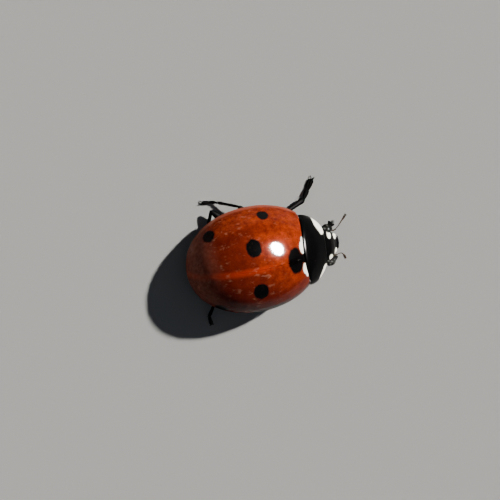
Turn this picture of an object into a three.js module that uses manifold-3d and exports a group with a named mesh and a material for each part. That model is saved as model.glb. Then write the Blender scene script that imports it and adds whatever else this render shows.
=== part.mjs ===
// A seven-spot ladybird, life size, standing on a level floor at z = 0. Millimetres.
// +X is the beetle's left, -Y the way it faces and +Z up. Points of the body are written as
// (left, forward, up) from the middle of the wing cases and turned into that frame by at().
// The whole figure is then moved so that the frame's origin is the bottom centre of its box.
import * as THREE from "three";
import { mergeVertices } from "three/addons/utils/BufferGeometryUtils.js";
import Module from "manifold-3d";

const wasm = await Module();
wasm.setup();

// ---- driving dimensions -------------------------------------------------------------------
const CASE_HALF_LENGTH = 3.465; // of the oval that the wing cases and the pronotum's base share
const CASE_HALF_WIDTH = 2.7;
const CASE_RISE = 2.6; // from the rim up to the crown
const RIM_UP = 0.9; // the rim above the floor
const PLAN_POWER = 2.1; // how square the oval is, seen from above
const ARCH_POWER = 2.15; // how square the arch is
const PLATE = 0.5; // thickness of wing cases and pronotum
const SEAM = 0.03; // the thin cut between neighbours
const BASE_FORWARD = 2.26; // front edge of the wing cases at the midline
const SHOULDER_LEFT = 1.8;
const SHOULDER_LEAD = 0.29; // how much further forward the shoulder reaches than the midline
const CASE_SEGMENTS = 36;
const HEAD_TURN = 3; // degrees that the head looks to the beetle's right
const HINGE_FORWARD = 2.4; // where the turn of head and pronotum starts
const BELLY_DEPTH = 0.45; // of the underside below the rim
const WAIST_FORWARD = 0.05; // where thorax and abdomen meet

const PRONOTUM = {
  rearHalfWidth: 1.84,
  frontHalfWidth: 1.04,
  sideCurve: 2, // how late the sides draw in, going forward
  frontForward: 3.62,
  cornerLead: 0.03,
  rearCrest: RIM_UP + 2.06,
  frontCrest: RIM_UP + 1.0,
  rearEdge: RIM_UP + 0.42,
  frontEdge: RIM_UP + 0.36,
};
const PROTHORAX = { forward: 2.95, up: 1.25, long: 0.72, wide: 1.3, deep: 0.55 };
const SCUTELLUM = { halfWidth: 0.3, length: 0.42, thick: 0.5 };

const HEAD = { forward: 3.66, up: 1.3, long: 0.86, wide: 0.94, deep: 0.52, nod: 35 };
const EYE = { left: 0.86, forward: 3.92, up: 1.19, long: 0.32, wide: 0.28, deep: 0.36 };
const LABRUM = { forward: 4.33, up: 0.8, long: 0.16, wide: 0.4, deep: 0.25 };
const MANDIBLE = { left: 0.33, forward: 4.12, up: 0.6, long: 0.32, wide: 0.28, deep: 0.26 };

const FEMUR_RADIUS = 0.26;
const TIBIA_RADIUS = 0.25;
const TARSUS_RADIUS = 0.25;
const COXA_RADIUS = 0.3;
const FEELER_RADIUS = 0.24;
const PALP_RADIUS = 0.23;
const LIMB_SIDES = 10;

// Joints of each leg as [left, forward, up]: hip, knee, ankle and toe.
const LEGS = {
  front_left: [[0.5, 2.74, 0.5], [1.9, 2.0, 0.6], [2.34, 3.2, 0.22], [3.14, 3.75, 0.21]],
  middle_left: [[1.0, 1.15, 0.5], [2.74, -0.2, 0.6], [3.1, -1.2, 0.22], [3.15, -1.88, 0.21]],
  hind_left: [[1.05, 0.0, 0.5], [2.78, -1.56, 0.52], [1.72, -1.96, 0.22], [1.2, -2.46, 0.21]],
  front_right: [[-0.5, 2.74, 0.5], [-1.5, 2.12, 0.6], [-1.72, 2.78, 0.22], [-1.58, 3.3, 0.21]],
  middle_right: [[-1.0, 1.15, 0.5], [-2.3, 1.5, 0.6], [-2.6, 0.75, 0.22], [-2.66, 0.1, 0.21]],
  hind_right: [[-0.95, 0.05, 0.5], [-1.5, -2.05, 0.6], [-2.6, -2.62, 0.22], [-3.1, -2.56, 0.21]],
};
// Root, elbow and tip of each antenna, and root and tip of each maxillary palp.
const ANTENNAE = {
  left: [[0.66, 4.05, 1.0], [0.68, 4.56, 0.86], [1.09, 5.14, 0.54]],
  right: [[-0.78, 4.0, 1.0], [-0.72, 4.52, 0.8], [-1.12, 4.8, 0.48]],
};
const PALPS = {
  left: [[0.55, 3.85, 0.55], [0.98, 4.28, 0.5]],
  right: [[-0.55, 3.85, 0.55], [-0.98, 4.28, 0.5]],
};

// ---- finishes -----------------------------------------------------------------------------
const finish = (color, roughness) => new THREE.MeshStandardMaterial({ color, roughness });
const CASE_RED = finish(0xc8400c, 0.25);
const BLACK_CUTICLE = finish(0x0c0b0b, 0.3);
const EYE_BLACK = finish(0x080808, 0.2);
const FEELER_BROWN = finish(0x3a2414, 0.45);

// ---- helpers ------------------------------------------------------------------------------
const at = (left, forward, up) => new THREE.Vector3(left, -forward, up);
const mix = THREE.MathUtils.lerp;

// A geometry as a manifold-3d solid.
function solid(geometry) {
  const bare = new THREE.BufferGeometry();
  bare.setAttribute("position", geometry.getAttribute("position"));
  if (geometry.index) bare.setIndex(geometry.index);
  const merged = mergeVertices(bare, 1e-4);
  const made = new wasm.Manifold(
    new wasm.Mesh({
      numProp: 3,
      vertProperties: merged.attributes.position.array,
      triVerts: new Uint32Array(merged.index.array),
    }),
  );
  if (made.volume() >= 0) return made;
  return solid(turnedOut(merged));
}

function turnedOut(geometry) {
  const flipped = geometry.clone();
  const index = flipped.index.array;
  for (let i = 0; i < index.length; i += 3) [index[i + 1], index[i + 2]] = [index[i + 2], index[i + 1]];
  return flipped;
}

// Moves every vertex of a geometry to where place() puts it.
function warped(geometry, place) {
  const position = geometry.getAttribute("position");
  const point = new THREE.Vector3();
  for (let i = 0; i < position.count; i++) {
    const moved = place(point.fromBufferAttribute(position, i));
    position.setXYZ(i, moved.x, moved.y, moved.z);
  }
  return geometry;
}

// A box of unit sides cut into segments, with each vertex placed by its shares across, along and up.
const warpedBox = (across, along, up, place) =>
  solid(
    warped(new THREE.BoxGeometry(1, 1, 1, across, along, up), (p) => place(2 * p.x, p.y + 0.5, p.z + 0.5)),
  );

const powered = (value, power) => Math.sign(value) * Math.abs(value) ** power;

// The oval dome of the wing cases, drawn in by inset, with a belly below the rim.
function dome(inset, belly) {
  const sphere = new THREE.SphereGeometry(1, CASE_SEGMENTS, 20).rotateX(Math.PI / 2);
  return solid(
    warped(sphere, (p) => {
      const flat = Math.hypot(p.x, p.y);
      const turn = Math.atan2(p.y, p.x);
      const out = flat ** (2 / ARCH_POWER);
      return at(
        (CASE_HALF_WIDTH - inset) * out * powered(Math.cos(turn), 2 / PLAN_POWER),
        (CASE_HALF_LENGTH - inset) * out * powered(Math.sin(turn), 2 / PLAN_POWER),
        RIM_UP + (p.z > 0 ? CASE_RISE - inset : belly) * powered(p.z, 2 / ARCH_POWER),
      );
    }),
  );
}

// Everything on the side of a point that the direction looks to.
function halfSpace(point, direction) {
  const size = 40;
  const turn = new THREE.Quaternion().setFromUnitVectors(at(0, 0, 1), direction.clone().normalize());
  const box = new THREE.BoxGeometry(size, size, size).translate(0, 0, size / 2);
  return solid(box.applyQuaternion(turn).translate(point.x, point.y, point.z));
}

// Turns a solid of the head with the head, about the hinge.
function turned(made) {
  return made.translate([0, HINGE_FORWARD, 0]).rotate([0, 0, -HEAD_TURN]).translate([0, -HINGE_FORWARD, 0]);
}

// An ellipsoid of the head, which may nod forward, in degrees.
function ellipsoid({ left = 0, forward, up, long, wide, deep, nod = 0 }, grow = 0, side = 1) {
  const ball = new THREE.SphereGeometry(1, 16, 10).rotateX(Math.PI / 2);
  ball.scale(wide + grow, long + grow, deep + grow).rotateX(THREE.MathUtils.degToRad(nod));
  const centre = at(side * left, forward, up);
  return turned(solid(ball.translate(centre.x, centre.y, centre.z)));
}

// A round limb from one joint to the next. widths are its radii at even steps along it.
function limb(from, to, widths, overshoot = 0) {
  const along = to.clone().sub(from);
  const length = along.length() + 2 * overshoot;
  const steps = widths.length - 1;
  const profile = [new THREE.Vector2(0, 0)];
  widths.forEach((width, i) => profile.push(new THREE.Vector2(width, (length * (i + 0.5)) / (steps + 1))));
  profile.push(new THREE.Vector2(0, length));
  const turn = new THREE.Quaternion().setFromUnitVectors(at(0, -1, 0), along.clone().normalize());
  const start = from.clone().addScaledVector(along.normalize(), -overshoot);
  const lathe = new THREE.LatheGeometry(profile, LIMB_SIDES).applyQuaternion(turn);
  return solid(lathe.translate(start.x, start.y, start.z));
}

// ---- wing cases and scutellum -------------------------------------------------------------
// How far forward the wing cases' base reaches at a place left of the midline.
const baseForward = (left) => BASE_FORWARD + SHOULDER_LEAD * (left / SHOULDER_LEFT) ** 2;

// All that lies in front of the base, less a gap.
const aheadOfBase = (gap) =>
  warpedBox(20, 1, 1, (across, along, up) => {
    const left = 4 * across;
    return at(left, along < 0.5 ? 6 : baseForward(left) + gap, 5 * up - 0.5);
  });

function scutellum(grow) {
  const { halfWidth, length, thick } = SCUTELLUM;
  const half = halfWidth + grow;
  const outline = new THREE.Shape([
    new THREE.Vector2(-half, grow),
    new THREE.Vector2(0, -length - 2 * grow),
    new THREE.Vector2(half, grow),
  ]);
  const block = new THREE.ExtrudeGeometry(outline, { depth: 3, bevelEnabled: false, steps: 1 });
  const place = (p) => at(p.x, BASE_FORWARD - 0.02 + p.y, RIM_UP + p.z);
  return solid(warped(block, place)).intersect(dome(-grow, BELLY_DEPTH)).subtract(dome(thick + grow, 0.01));
}

function wingCases() {
  const shell = dome(0, 0.001)
    .subtract(halfSpace(at(0, 0, RIM_UP), at(0, 0, -1)))
    .subtract(dome(PLATE, BELLY_DEPTH))
    .subtract(aheadOfBase(0))
    .subtract(scutellum(SEAM));
  const half = (side) => shell.subtract(halfSpace(at((side * SEAM) / 2, 0, 0), at(-side, 0, 0)));
  return { left: half(1), right: half(-1) };
}

// ---- pronotum and prothorax ---------------------------------------------------------------
function pronotumPoint(across, along, drop) {
  const size = PRONOTUM;
  const turn = (across * Math.PI) / 2;
  const halfWidth = mix(size.rearHalfWidth, size.frontHalfWidth, along ** size.sideCurve);
  const skew = Math.tan(THREE.MathUtils.degToRad(HEAD_TURN));
  const left = halfWidth * Math.sin(turn) - skew * (size.frontForward - HINGE_FORWARD) * along;
  const crest = mix(size.rearCrest, size.frontCrest, 0.72 * along + 0.28 * along ** 2);
  const edge = mix(size.rearEdge, size.frontEdge, along);
  const lead = size.cornerLead * (left / size.frontHalfWidth) ** 2;
  const front = size.frontForward + Math.min(lead, 0.2) + skew * left;
  const forward = mix(baseForward(left) + SEAM, front, along);
  const up = mix(edge, crest, Math.cos(turn) ** 0.9) - drop;
  return at(left * (1 - 0.5 * drop), forward, up);
}
const pronotum = (thick) =>
  warpedBox(18, 6, 1, (across, along, up) => pronotumPoint(across, 1 - along, up > 0.5 ? 0 : thick));

// ---- legs ---------------------------------------------------------------------------------
// The plane halfway between two limbs that meet at a joint, as the way it looks along the leg.
function jointWay(before, joint, after) {
  const arriving = joint.clone().sub(before).normalize();
  const leaving = after.clone().sub(joint).normalize();
  return arriving.add(leaving).normalize();
}

function leg(joints) {
  const [hip, knee, ankle, toe] = joints.map((j) => at(...j));
  const kneeWay = jointWay(hip, knee, ankle);
  const ankleWay = jointWay(knee, ankle, toe);
  const hipWay = knee.clone().sub(hip).normalize();
  const hipCut = hip.clone().addScaledVector(hipWay, COXA_RADIUS * 0.8);
  const cut = (piece, joint, way) => piece.subtract(halfSpace(joint.clone().addScaledVector(way, -SEAM / 2), way));
  const cutBack = (piece, joint, way) => cut(piece, joint, way.clone().negate());
  const floor = halfSpace(at(0, 0, 0), at(0, 0, -1));
  const f = FEMUR_RADIUS;
  const femur = limb(hip, knee, [0.8 * f, f, f, f, 0.95 * f, 0.8 * f], 0.06);
  const tibia = limb(knee, ankle, Array(4).fill(TIBIA_RADIUS), 0.12);
  const tarsus = limb(ankle, toe, Array(4).fill(TARSUS_RADIUS), 0.12);
  const ball = new THREE.SphereGeometry(COXA_RADIUS, 10, 6).rotateX(Math.PI / 2);
  const coxa = solid(ball.translate(hip.x, hip.y, hip.z));
  return {
    coxa: cut(coxa, hipCut, hipWay),
    femur: cut(cutBack(femur, hipCut, hipWay), knee, kneeWay),
    tibia: cut(cutBack(tibia, knee, kneeWay), ankle, ankleWay).subtract(floor),
    tarsus: cutBack(tarsus, ankle, ankleWay).subtract(floor),
  };
}

// ---- the figure ---------------------------------------------------------------------------
const pieces = new Map(); // name to [solid, finish]
const add = (name, made, look) => pieces.set(name, [made, look]);
const SIDES = { left: 1, right: -1 };

const cases = wingCases();
add("elytron_left", cases.left, CASE_RED);
add("elytron_right", cases.right, CASE_RED);
add("scutellum", scutellum(0), BLACK_CUTICLE);

const plate = pronotum(PLATE);
add("pronotum", plate, BLACK_CUTICLE);
const roomUnderPlate = pronotum(PLATE + SEAM);

// The room that a leg's hip, thigh and shin take, with the thin cut all round.
function legRoom(joints) {
  const [hip, knee, ankle] = joints.map((j) => at(...j));
  const ball = new THREE.SphereGeometry(COXA_RADIUS + 2 * SEAM, 8, 6).rotateX(Math.PI / 2);
  const wide = FEMUR_RADIUS + SEAM;
  return solid(ball.translate(hip.x, hip.y, hip.z))
    .add(limb(hip, knee, Array(3).fill(wide), 0.1))
    .add(limb(knee, ankle, Array(3).fill(wide), 0.15));
}
const legRooms = Object.values(LEGS).map(legRoom);
const clearOfLegs = (body) => legRooms.reduce((left, room) => left.subtract(room), body);

const core = clearOfLegs(dome(PLATE + SEAM, BELLY_DEPTH).subtract(aheadOfBase(-0.1)));
const waist = at(0, WAIST_FORWARD, 0);
add("abdomen", core.subtract(halfSpace(waist, at(0, 1, 0))), BLACK_CUTICLE);
const behindWaist = halfSpace(waist.clone().add(at(0, SEAM, 0)), at(0, -1, 0));
add("thorax", core.subtract(behindWaist).subtract(scutellum(SEAM)), BLACK_CUTICLE);

const prothorax = clearOfLegs(
  ellipsoid(PROTHORAX).intersect(aheadOfBase(-0.02)).subtract(roomUnderPlate),
);
add("prothorax", prothorax, BLACK_CUTICLE);

const eyes = Object.values(SIDES).map((side) => ellipsoid(EYE, 0, side));
const antennaRoots = [];
for (const [name, side] of Object.entries(SIDES)) {
  const [root, elbow, tip] = ANTENNAE[name].map((p) => at(...p));
  const way = jointWay(root, elbow, tip);
  const stalk = limb(root, elbow, Array(3).fill(FEELER_RADIUS), 0.1);
  const club = limb(elbow, tip, Array(4).fill(FEELER_RADIUS), 0.1);
  const stalkCut = halfSpace(elbow.clone().addScaledVector(way, -SEAM / 2), way);
  const clubCut = halfSpace(elbow.clone().addScaledVector(way, SEAM / 2), way.clone().negate());
  antennaRoots.push([name, stalk.subtract(stalkCut), club.subtract(clubCut), side]);
}
const mandibles = Object.values(SIDES).map((side) => ellipsoid(MANDIBLE, 0, side));
const swollen = (shape, side) => ellipsoid(shape, SEAM, side);
const bothSides = (shape) => swollen(shape, 1).add(swollen(shape, -1));

const headRoom = roomUnderPlate.add(ellipsoid(PROTHORAX, SEAM));
const head = ellipsoid(HEAD).subtract(headRoom).subtract(bothSides(EYE)).subtract(bothSides(MANDIBLE));
add("head", head, BLACK_CUTICLE);
const headAndEyes = ellipsoid(HEAD, SEAM).add(bothSides(EYE));
eyes.forEach((eye, i) => add(`eye_${Object.keys(SIDES)[i]}`, eye.subtract(headRoom), EYE_BLACK));
add("labrum", ellipsoid(LABRUM).subtract(ellipsoid(HEAD, SEAM)).subtract(bothSides(MANDIBLE)), BLACK_CUTICLE);
const midline = (side) => turned(halfSpace(at((side * SEAM) / 2, 0, 0), at(-side, 0, 0)));
mandibles.forEach((jaw, i) => {
  const [name, side] = Object.entries(SIDES)[i];
  add(`mandible_${name}`, jaw.subtract(midline(side)), BLACK_CUTICLE);
});
for (const [name, [root, tip]] of Object.entries(PALPS)) {
  const palp = turned(limb(at(...root), at(...tip), Array(4).fill(PALP_RADIUS)));
  add(`palp_${name}`, palp.subtract(headAndEyes).subtract(bothSides(MANDIBLE)), BLACK_CUTICLE);
}
for (const [name, stalk, club] of antennaRoots) {
  const clear = (piece) => piece.subtract(headAndEyes).subtract(ellipsoid(LABRUM, SEAM));
  add(`antenna_stalk_${name}`, clear(stalk), FEELER_BROWN);
  add(`antenna_club_${name}`, clear(club), FEELER_BROWN);
}
for (const [name, joints] of Object.entries(LEGS)) {
  for (const [piece, made] of Object.entries(leg(joints))) add(`${piece}_${name}`, made, BLACK_CUTICLE);
}

// The largest body of a solid, as a mesh: a cut can leave a crumb beside it.
function meshOf(name, made, look) {
  const whole = made.simplify(0.024).decompose().sort((a, b) => b.volume() - a.volume())[0];
  const { vertProperties, triVerts } = whole.getMesh();
  const geometry = new THREE.BufferGeometry();
  geometry.setAttribute("position", new THREE.BufferAttribute(new Float32Array(vertProperties), 3));
  geometry.setIndex(new THREE.BufferAttribute(new Uint32Array(triVerts), 1));
  geometry.computeVertexNormals();
  const mesh = new THREE.Mesh(geometry, look);
  mesh.name = name;
  return mesh;
}

const ladybird = new THREE.Group();
ladybird.name = "ladybird";
for (const [name, [made, look]] of pieces) ladybird.add(meshOf(name, made, look));
const middle = new THREE.Box3().setFromObject(ladybird).getCenter(new THREE.Vector3());
ladybird.position.set(-middle.x, -middle.y, 0);
ladybird.updateMatrixWorld(true);

export default ladybird;
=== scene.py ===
# %% [markdown]
# # A seven-spot ladybird, life size
# This lesson builds a small beetle, 8 mm long, over a frame of plain solids. The frame says where
# each part of the body is. Every piece here takes the place of one or more of those solids, with the
# real thinness, edges, pits, hairs and colours that the solids leave out.
# All sizes are written in millimetres on the beetle's own axes: left of the midline, forward of the
# middle of the wing cases, and up from the floor. One function turns them into the scene's metres.

# %% Load the frame
import math

import bmesh
import bpy
import numpy as np
from mathutils import Matrix, Vector


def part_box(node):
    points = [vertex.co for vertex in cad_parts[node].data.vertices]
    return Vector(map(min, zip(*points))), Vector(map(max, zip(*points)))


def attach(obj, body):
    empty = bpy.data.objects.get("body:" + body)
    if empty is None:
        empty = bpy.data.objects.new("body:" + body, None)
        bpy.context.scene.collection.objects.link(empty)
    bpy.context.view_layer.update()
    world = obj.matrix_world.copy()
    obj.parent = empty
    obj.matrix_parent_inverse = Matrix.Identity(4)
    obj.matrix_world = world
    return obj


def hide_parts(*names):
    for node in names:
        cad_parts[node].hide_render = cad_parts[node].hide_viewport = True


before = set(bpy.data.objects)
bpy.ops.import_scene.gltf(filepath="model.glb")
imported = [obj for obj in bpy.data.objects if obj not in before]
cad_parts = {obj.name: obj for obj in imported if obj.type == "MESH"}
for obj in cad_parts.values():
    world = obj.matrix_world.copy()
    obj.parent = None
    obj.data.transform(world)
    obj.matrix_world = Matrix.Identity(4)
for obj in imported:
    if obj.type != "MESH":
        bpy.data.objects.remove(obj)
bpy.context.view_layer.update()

print("frame:", len(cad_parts), "solids")

# %% [markdown]
# ## The beetle's own axes
# The two wing cases meet at the midline, and their oval ends at the tail. Both can be read from the
# frame, so the rest of the script can think in "2.1 mm to the left" and never in scene coordinates.
# Head and pronotum look a little to the right, so their points are turned before they are placed.

# %% Axes and the main sizes, in millimetres
MM = 0.001
CASE_HALF_LENGTH = 3.465
CASE_HALF_WIDTH = 2.7
CASE_RISE = 2.6
RIM_UP = 0.9
PLAN_POWER = 2.1
ARCH_POWER = 2.15
BASE_FORWARD = 2.26
SHOULDER_LEFT = 1.8
SHOULDER_LEAD = 0.29
HEAD_TURN = math.radians(3.0)
HINGE_FORWARD = 2.4  # where the turn of head and pronotum starts
SIDES = {"left": 1, "right": -1}

left_low, left_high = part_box("elytron_left")
right_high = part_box("elytron_right")[1]
MIDLINE_X = (left_low.x + right_high.x) / 2
MIDDLE_Y = left_high.y - CASE_HALF_LENGTH * MM


def to_scene(points):
    """Points as [left, forward, up] in millimetres, turned into the scene's metres."""
    points = np.asarray(points, float)
    out = np.empty_like(points)
    out[..., 0] = MIDLINE_X + points[..., 0] * MM
    out[..., 1] = MIDDLE_Y - points[..., 1] * MM
    out[..., 2] = points[..., 2] * MM
    return out


def scene_point(left, forward, up):
    return Vector(to_scene([left, forward, up]))


def turned(points):
    """Points of the head, given as if it looked straight ahead, turned with it."""
    points = np.array(points, float)
    left, ahead = points[..., 0].copy(), points[..., 1] - HINGE_FORWARD
    points[..., 0] = left * math.cos(HEAD_TURN) - ahead * math.sin(HEAD_TURN)
    points[..., 1] = HINGE_FORWARD + left * math.sin(HEAD_TURN) + ahead * math.cos(HEAD_TURN)
    return points


def unit(vector):
    return vector / np.linalg.norm(vector)


def mix(first, second, share):
    return first + (second - first) * share


def powered(value, power):
    """A power that keeps the sign, for ovals that are fuller or leaner than an ellipse."""
    return np.sign(value) * np.abs(value) ** power


print("midline at", round(MIDLINE_X / MM, 3), "mm, middle of the cases at", round(MIDDLE_Y / MM, 3))

# %% [markdown]
# ## The view
# The beetle is seen from above and behind its left shoulder with a long lens, so there is hardly any
# perspective. The camera is described by the direction from the body to the lens and by a roll.

# %% Camera
VIEW_AZIMUTH = math.radians(123.67)  # from straight ahead, towards the beetle's left
VIEW_ELEVATION = math.radians(72.58)
VIEW_ROLL = math.radians(-224.87)
VIEW_DISTANCE = 150.0
PIXELS_PER_MM = 19.69
FRAME_PIXELS = 500
BODY_IN_FRAME = (253.10, 258.70)
SENSOR = 36.0
NEAREST_SEEN, FARTHEST_SEEN = 0.005, 5.0


def added(name, data):
    """A new object in the scene, at the origin."""
    made = bpy.data.objects.new(name, data)
    bpy.context.scene.collection.objects.link(made)
    return made


def facing(azimuth, elevation):
    """A direction in the scene from angles on the beetle's own axes."""
    flat = math.cos(elevation)
    return Vector((flat * math.sin(azimuth), -flat * math.cos(azimuth), math.sin(elevation)))


toward_lens = facing(VIEW_AZIMUTH, VIEW_ELEVATION)
level_right = Vector((0, 0, 1)).cross(toward_lens).normalized()
level_up = toward_lens.cross(level_right)
lens_right = math.cos(VIEW_ROLL) * level_right + math.sin(VIEW_ROLL) * level_up
lens_up = -math.sin(VIEW_ROLL) * level_right + math.cos(VIEW_ROLL) * level_up
aside = (FRAME_PIXELS / 2 - BODY_IN_FRAME[0]) / PIXELS_PER_MM
above = (BODY_IN_FRAME[1] - FRAME_PIXELS / 2) / PIXELS_PER_MM
lens_place = scene_point(0, 0, RIM_UP) + MM * (
    VIEW_DISTANCE * toward_lens + aside * lens_right + above * lens_up
)

camera_data = bpy.data.cameras.new("camera")
camera_data.sensor_width = SENSOR
camera_data.lens = PIXELS_PER_MM * VIEW_DISTANCE / FRAME_PIXELS * SENSOR
camera_data.clip_start, camera_data.clip_end = NEAREST_SEEN, FARTHEST_SEEN
camera = added("camera", camera_data)
turn = Matrix((lens_right, lens_up, toward_lens)).transposed().to_4x4()
camera.matrix_world = Matrix.Translation(lens_place) @ turn
bpy.context.scene.camera = camera
print("lens", round(camera_data.lens, 1), "mm")

# %% [markdown]
# ## The floor
# A pale, matt floor shows the outline of black legs and takes a clear shadow.

# %% Floor
FLOOR_HALF = 0.4
FLOOR_COLOUR = (0.236, 0.237, 0.234, 1.0)
FLOOR_ROUGHNESS = 0.8

floor_mesh = bpy.data.meshes.new("floor")
corners = [(-1, -1), (1, -1), (1, 1), (-1, 1)]
floor_mesh.from_pydata([(FLOOR_HALF * x, FLOOR_HALF * y, 0) for x, y in corners], [], [(0, 1, 2, 3)])
floor = added("floor", floor_mesh)
floor_finish = bpy.data.materials.new("floor")
floor_finish.use_nodes = True
floor_shader = floor_finish.node_tree.nodes["Principled BSDF"]
floor_shader.inputs["Base Color"].default_value = FLOOR_COLOUR
floor_shader.inputs["Roughness"].default_value = FLOOR_ROUGHNESS
floor_shader.inputs["Specular IOR Level"].default_value = 0.0
floor_mesh.materials.append(floor_finish)
print("floor", 2 * FLOOR_HALF, "m wide")

# %% [markdown]
# ## The light
# A low sun ahead of the beetle's left shoulder lights the colours and casts the shadow. The glossy
# skin would mirror it as a hard dot, so the sun doesn't show in reflections. A soft oval lamp does
# that instead: it gives the broad white glint on the dome and lights nothing else. An even pale sky
# fills the rest.

# %% Sun, lamp and sky
SUN_AZIMUTH = math.radians(29.0)
SUN_ELEVATION = math.radians(37.0)
SUN_STRENGTH = 11.0
SUN_SOFTNESS = math.radians(2.5)
SUN_COLOUR = (1.0, 0.965, 0.91)
LAMP_AZIMUTH = math.radians(29.5)
LAMP_ELEVATION = math.radians(56.0)
LAMP_ROLL = math.radians(-25.0)
LAMP_DISTANCE = 0.5
LAMP_SIZE = (0.24, 0.13)
LAMP_POWER = 110.0
SKY_COLOUR = (0.80, 0.87, 1.0, 1.0)
SKY_STRENGTH = 0.13


def placed_light(name, kind, azimuth, elevation, roll=0.0):
    """A light of a kind that shines on the beetle from a direction on the beetle's own axes."""
    data = bpy.data.lights.new(name, kind)
    data.color = SUN_COLOUR
    made = added(name, data)
    way = facing(azimuth, elevation)
    aim = way.to_track_quat("Z", "Y").to_matrix().to_4x4() @ Matrix.Rotation(roll, 4, "Z")
    made.matrix_world = Matrix.Translation(scene_point(0, 0, RIM_UP) + LAMP_DISTANCE * way) @ aim
    return made, data


sun, sun_data = placed_light("sun", "SUN", SUN_AZIMUTH, SUN_ELEVATION)
sun_data.energy, sun_data.angle = SUN_STRENGTH, SUN_SOFTNESS
sun.visible_glossy = False
lamp, lamp_data = placed_light("lamp", "AREA", LAMP_AZIMUTH, LAMP_ELEVATION, LAMP_ROLL)
lamp_data.shape, lamp_data.energy = "ELLIPSE", LAMP_POWER
lamp_data.size, lamp_data.size_y = LAMP_SIZE
lamp.visible_diffuse = False

sky = bpy.data.worlds.new("sky")
sky.use_nodes = True
sky.node_tree.nodes["Background"].inputs["Color"].default_value = SKY_COLOUR
sky.node_tree.nodes["Background"].inputs["Strength"].default_value = SKY_STRENGTH
bpy.context.scene.world = sky
print("lights:", sun.name, lamp.name, sky.name)

# %% [markdown]
# ## Building skins from rings
# Most parts of a beetle are closed shells: a thigh, a jaw, the head, the belly. Each can be made
# as a stack of rings that share the same number of points, closed at both ends. Bridging rings by
# hand costs a few lines and gives clean four-sided faces that follow the form, which boolean cuts
# or metaballs would not.

# %% Points and faces to a finished mesh
WELD_DISTANCE = 2e-7
SMALLEST_EDGE = 1e-7


def finished_mesh(name, points, faces, finish, corner_uv):
    """A mesh object from points in millimetres, welded, with its faces turned outwards."""
    mesh = bpy.data.meshes.new(name)
    mesh.from_pydata(to_scene(points).tolist(), [], faces)
    layer = mesh.uv_layers.new(name="skin_map")
    layer.data.foreach_set("uv", np.asarray(corner_uv, float).ravel())
    work = bmesh.new()
    work.from_mesh(mesh)
    bmesh.ops.remove_doubles(work, verts=work.verts, dist=WELD_DISTANCE)
    bmesh.ops.dissolve_degenerate(work, edges=work.edges, dist=SMALLEST_EDGE)
    bmesh.ops.recalc_face_normals(work, faces=work.faces)
    work.to_mesh(mesh)
    work.free()
    mesh.shade_smooth()
    mesh.materials.append(finish)
    return added(name, mesh)


print("points are welded within", WELD_DISTANCE, "m")


# %% Rings to a closed mesh
def ring_faces(rings, sides):
    """Four-sided faces between rings of points that close on themselves."""
    i = np.arange(rings - 1)[:, None]
    j = np.arange(sides)[None, :]
    k = (j + 1) % sides
    quads = np.stack([i * sides + j, i * sides + k, (i + 1) * sides + k, (i + 1) * sides + j], -1)
    return quads.reshape(-1, 4).tolist()


def ringed(name, rings, finish):
    """A closed skin over an array of rings [ring, point, (left, forward, up)]."""
    count, sides, _ = rings.shape
    faces = ring_faces(count, sides)
    ends = np.stack([rings[0].mean(0), rings[-1].mean(0)])
    points = np.concatenate([rings.reshape(-1, 3), ends])
    first, last = count * sides, count * sides + 1
    base = (count - 1) * sides
    uv = []
    for face in faces:
        row, column = divmod(face[0], sides)
        for across, along in ((0, 0), (1, 0), (1, 1), (0, 1)):
            uv.append(((column + across) / sides, (row + along) / count))
    for j in range(sides):
        k = (j + 1) % sides
        faces.append([first, k, j])
        faces.append([last, base + j, base + k])
        uv.extend([(j / sides, 0)] * 3 + [(j / sides, 1)] * 3)
    return finished_mesh(name, points, faces, finish, uv)


print("rings can be bridged")

# %% [markdown]
# ### Smooth limbs
# Legs, feelers and jaws are tubes whose thickness changes along a bent path. A few given points
# and radii are enough if a smooth curve is drawn through both.


# %% Profiles, paths and sweeps
def smooth_profile(stations, at):
    """A smooth curve through [place, value] stations, read at many places."""
    place, value = np.asarray(stations, float).T
    slope = np.gradient(value, place)
    i = np.clip(np.searchsorted(place, at) - 1, 0, len(place) - 2)
    span = place[i + 1] - place[i]
    t = (at - place[i]) / span
    ease = t * t * (3 - 2 * t)
    start_pull = t * (1 - t) ** 2 * span * slope[i]
    end_pull = -t * t * (1 - t) * span * slope[i + 1]
    return value[i] * (1 - ease) + value[i + 1] * ease + start_pull + end_pull


def curved_path(points, count):
    """A smooth path through a few points, evenly divided."""
    points = np.asarray(points, float)
    lengths = np.concatenate([[0], np.cumsum(np.linalg.norm(np.diff(points, axis=0), axis=1))])
    at = np.linspace(0, lengths[-1], count)
    return np.stack([smooth_profile(np.stack([lengths, points[:, a]], 1), at) for a in range(3)], 1)


def swept(path, wide, thick, sides):
    """Rings of an oval section carried along a path, wide across it and thick upright."""
    along = np.gradient(path, axis=0)
    along /= np.linalg.norm(along, axis=1)[:, None]
    across = np.cross([0.0, 0.0, 1.0], along)
    across /= np.linalg.norm(across, axis=1)[:, None]
    upward = np.cross(along, across)
    turn = np.linspace(0, 2 * np.pi, sides, endpoint=False)
    sideways = np.cos(turn)[None, :, None] * (across * wide[:, None])[:, None]
    upright = np.sin(turn)[None, :, None] * (upward * thick[:, None])[:, None]
    return path[:, None] + sideways + upright


THINNEST = 0.002


def bar(name, points, profile, finish, count=24, sides=20, flat=1.0):
    """A closed limb along a smooth path. profile is rows of share and radius; flat thins it upright."""
    share = np.linspace(0, 1, count)
    radius = np.maximum(smooth_profile(profile, share), THINNEST)
    return ringed(name, swept(curved_path(points, count), radius, radius * flat, sides), finish)


print("limbs can be swept")
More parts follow.
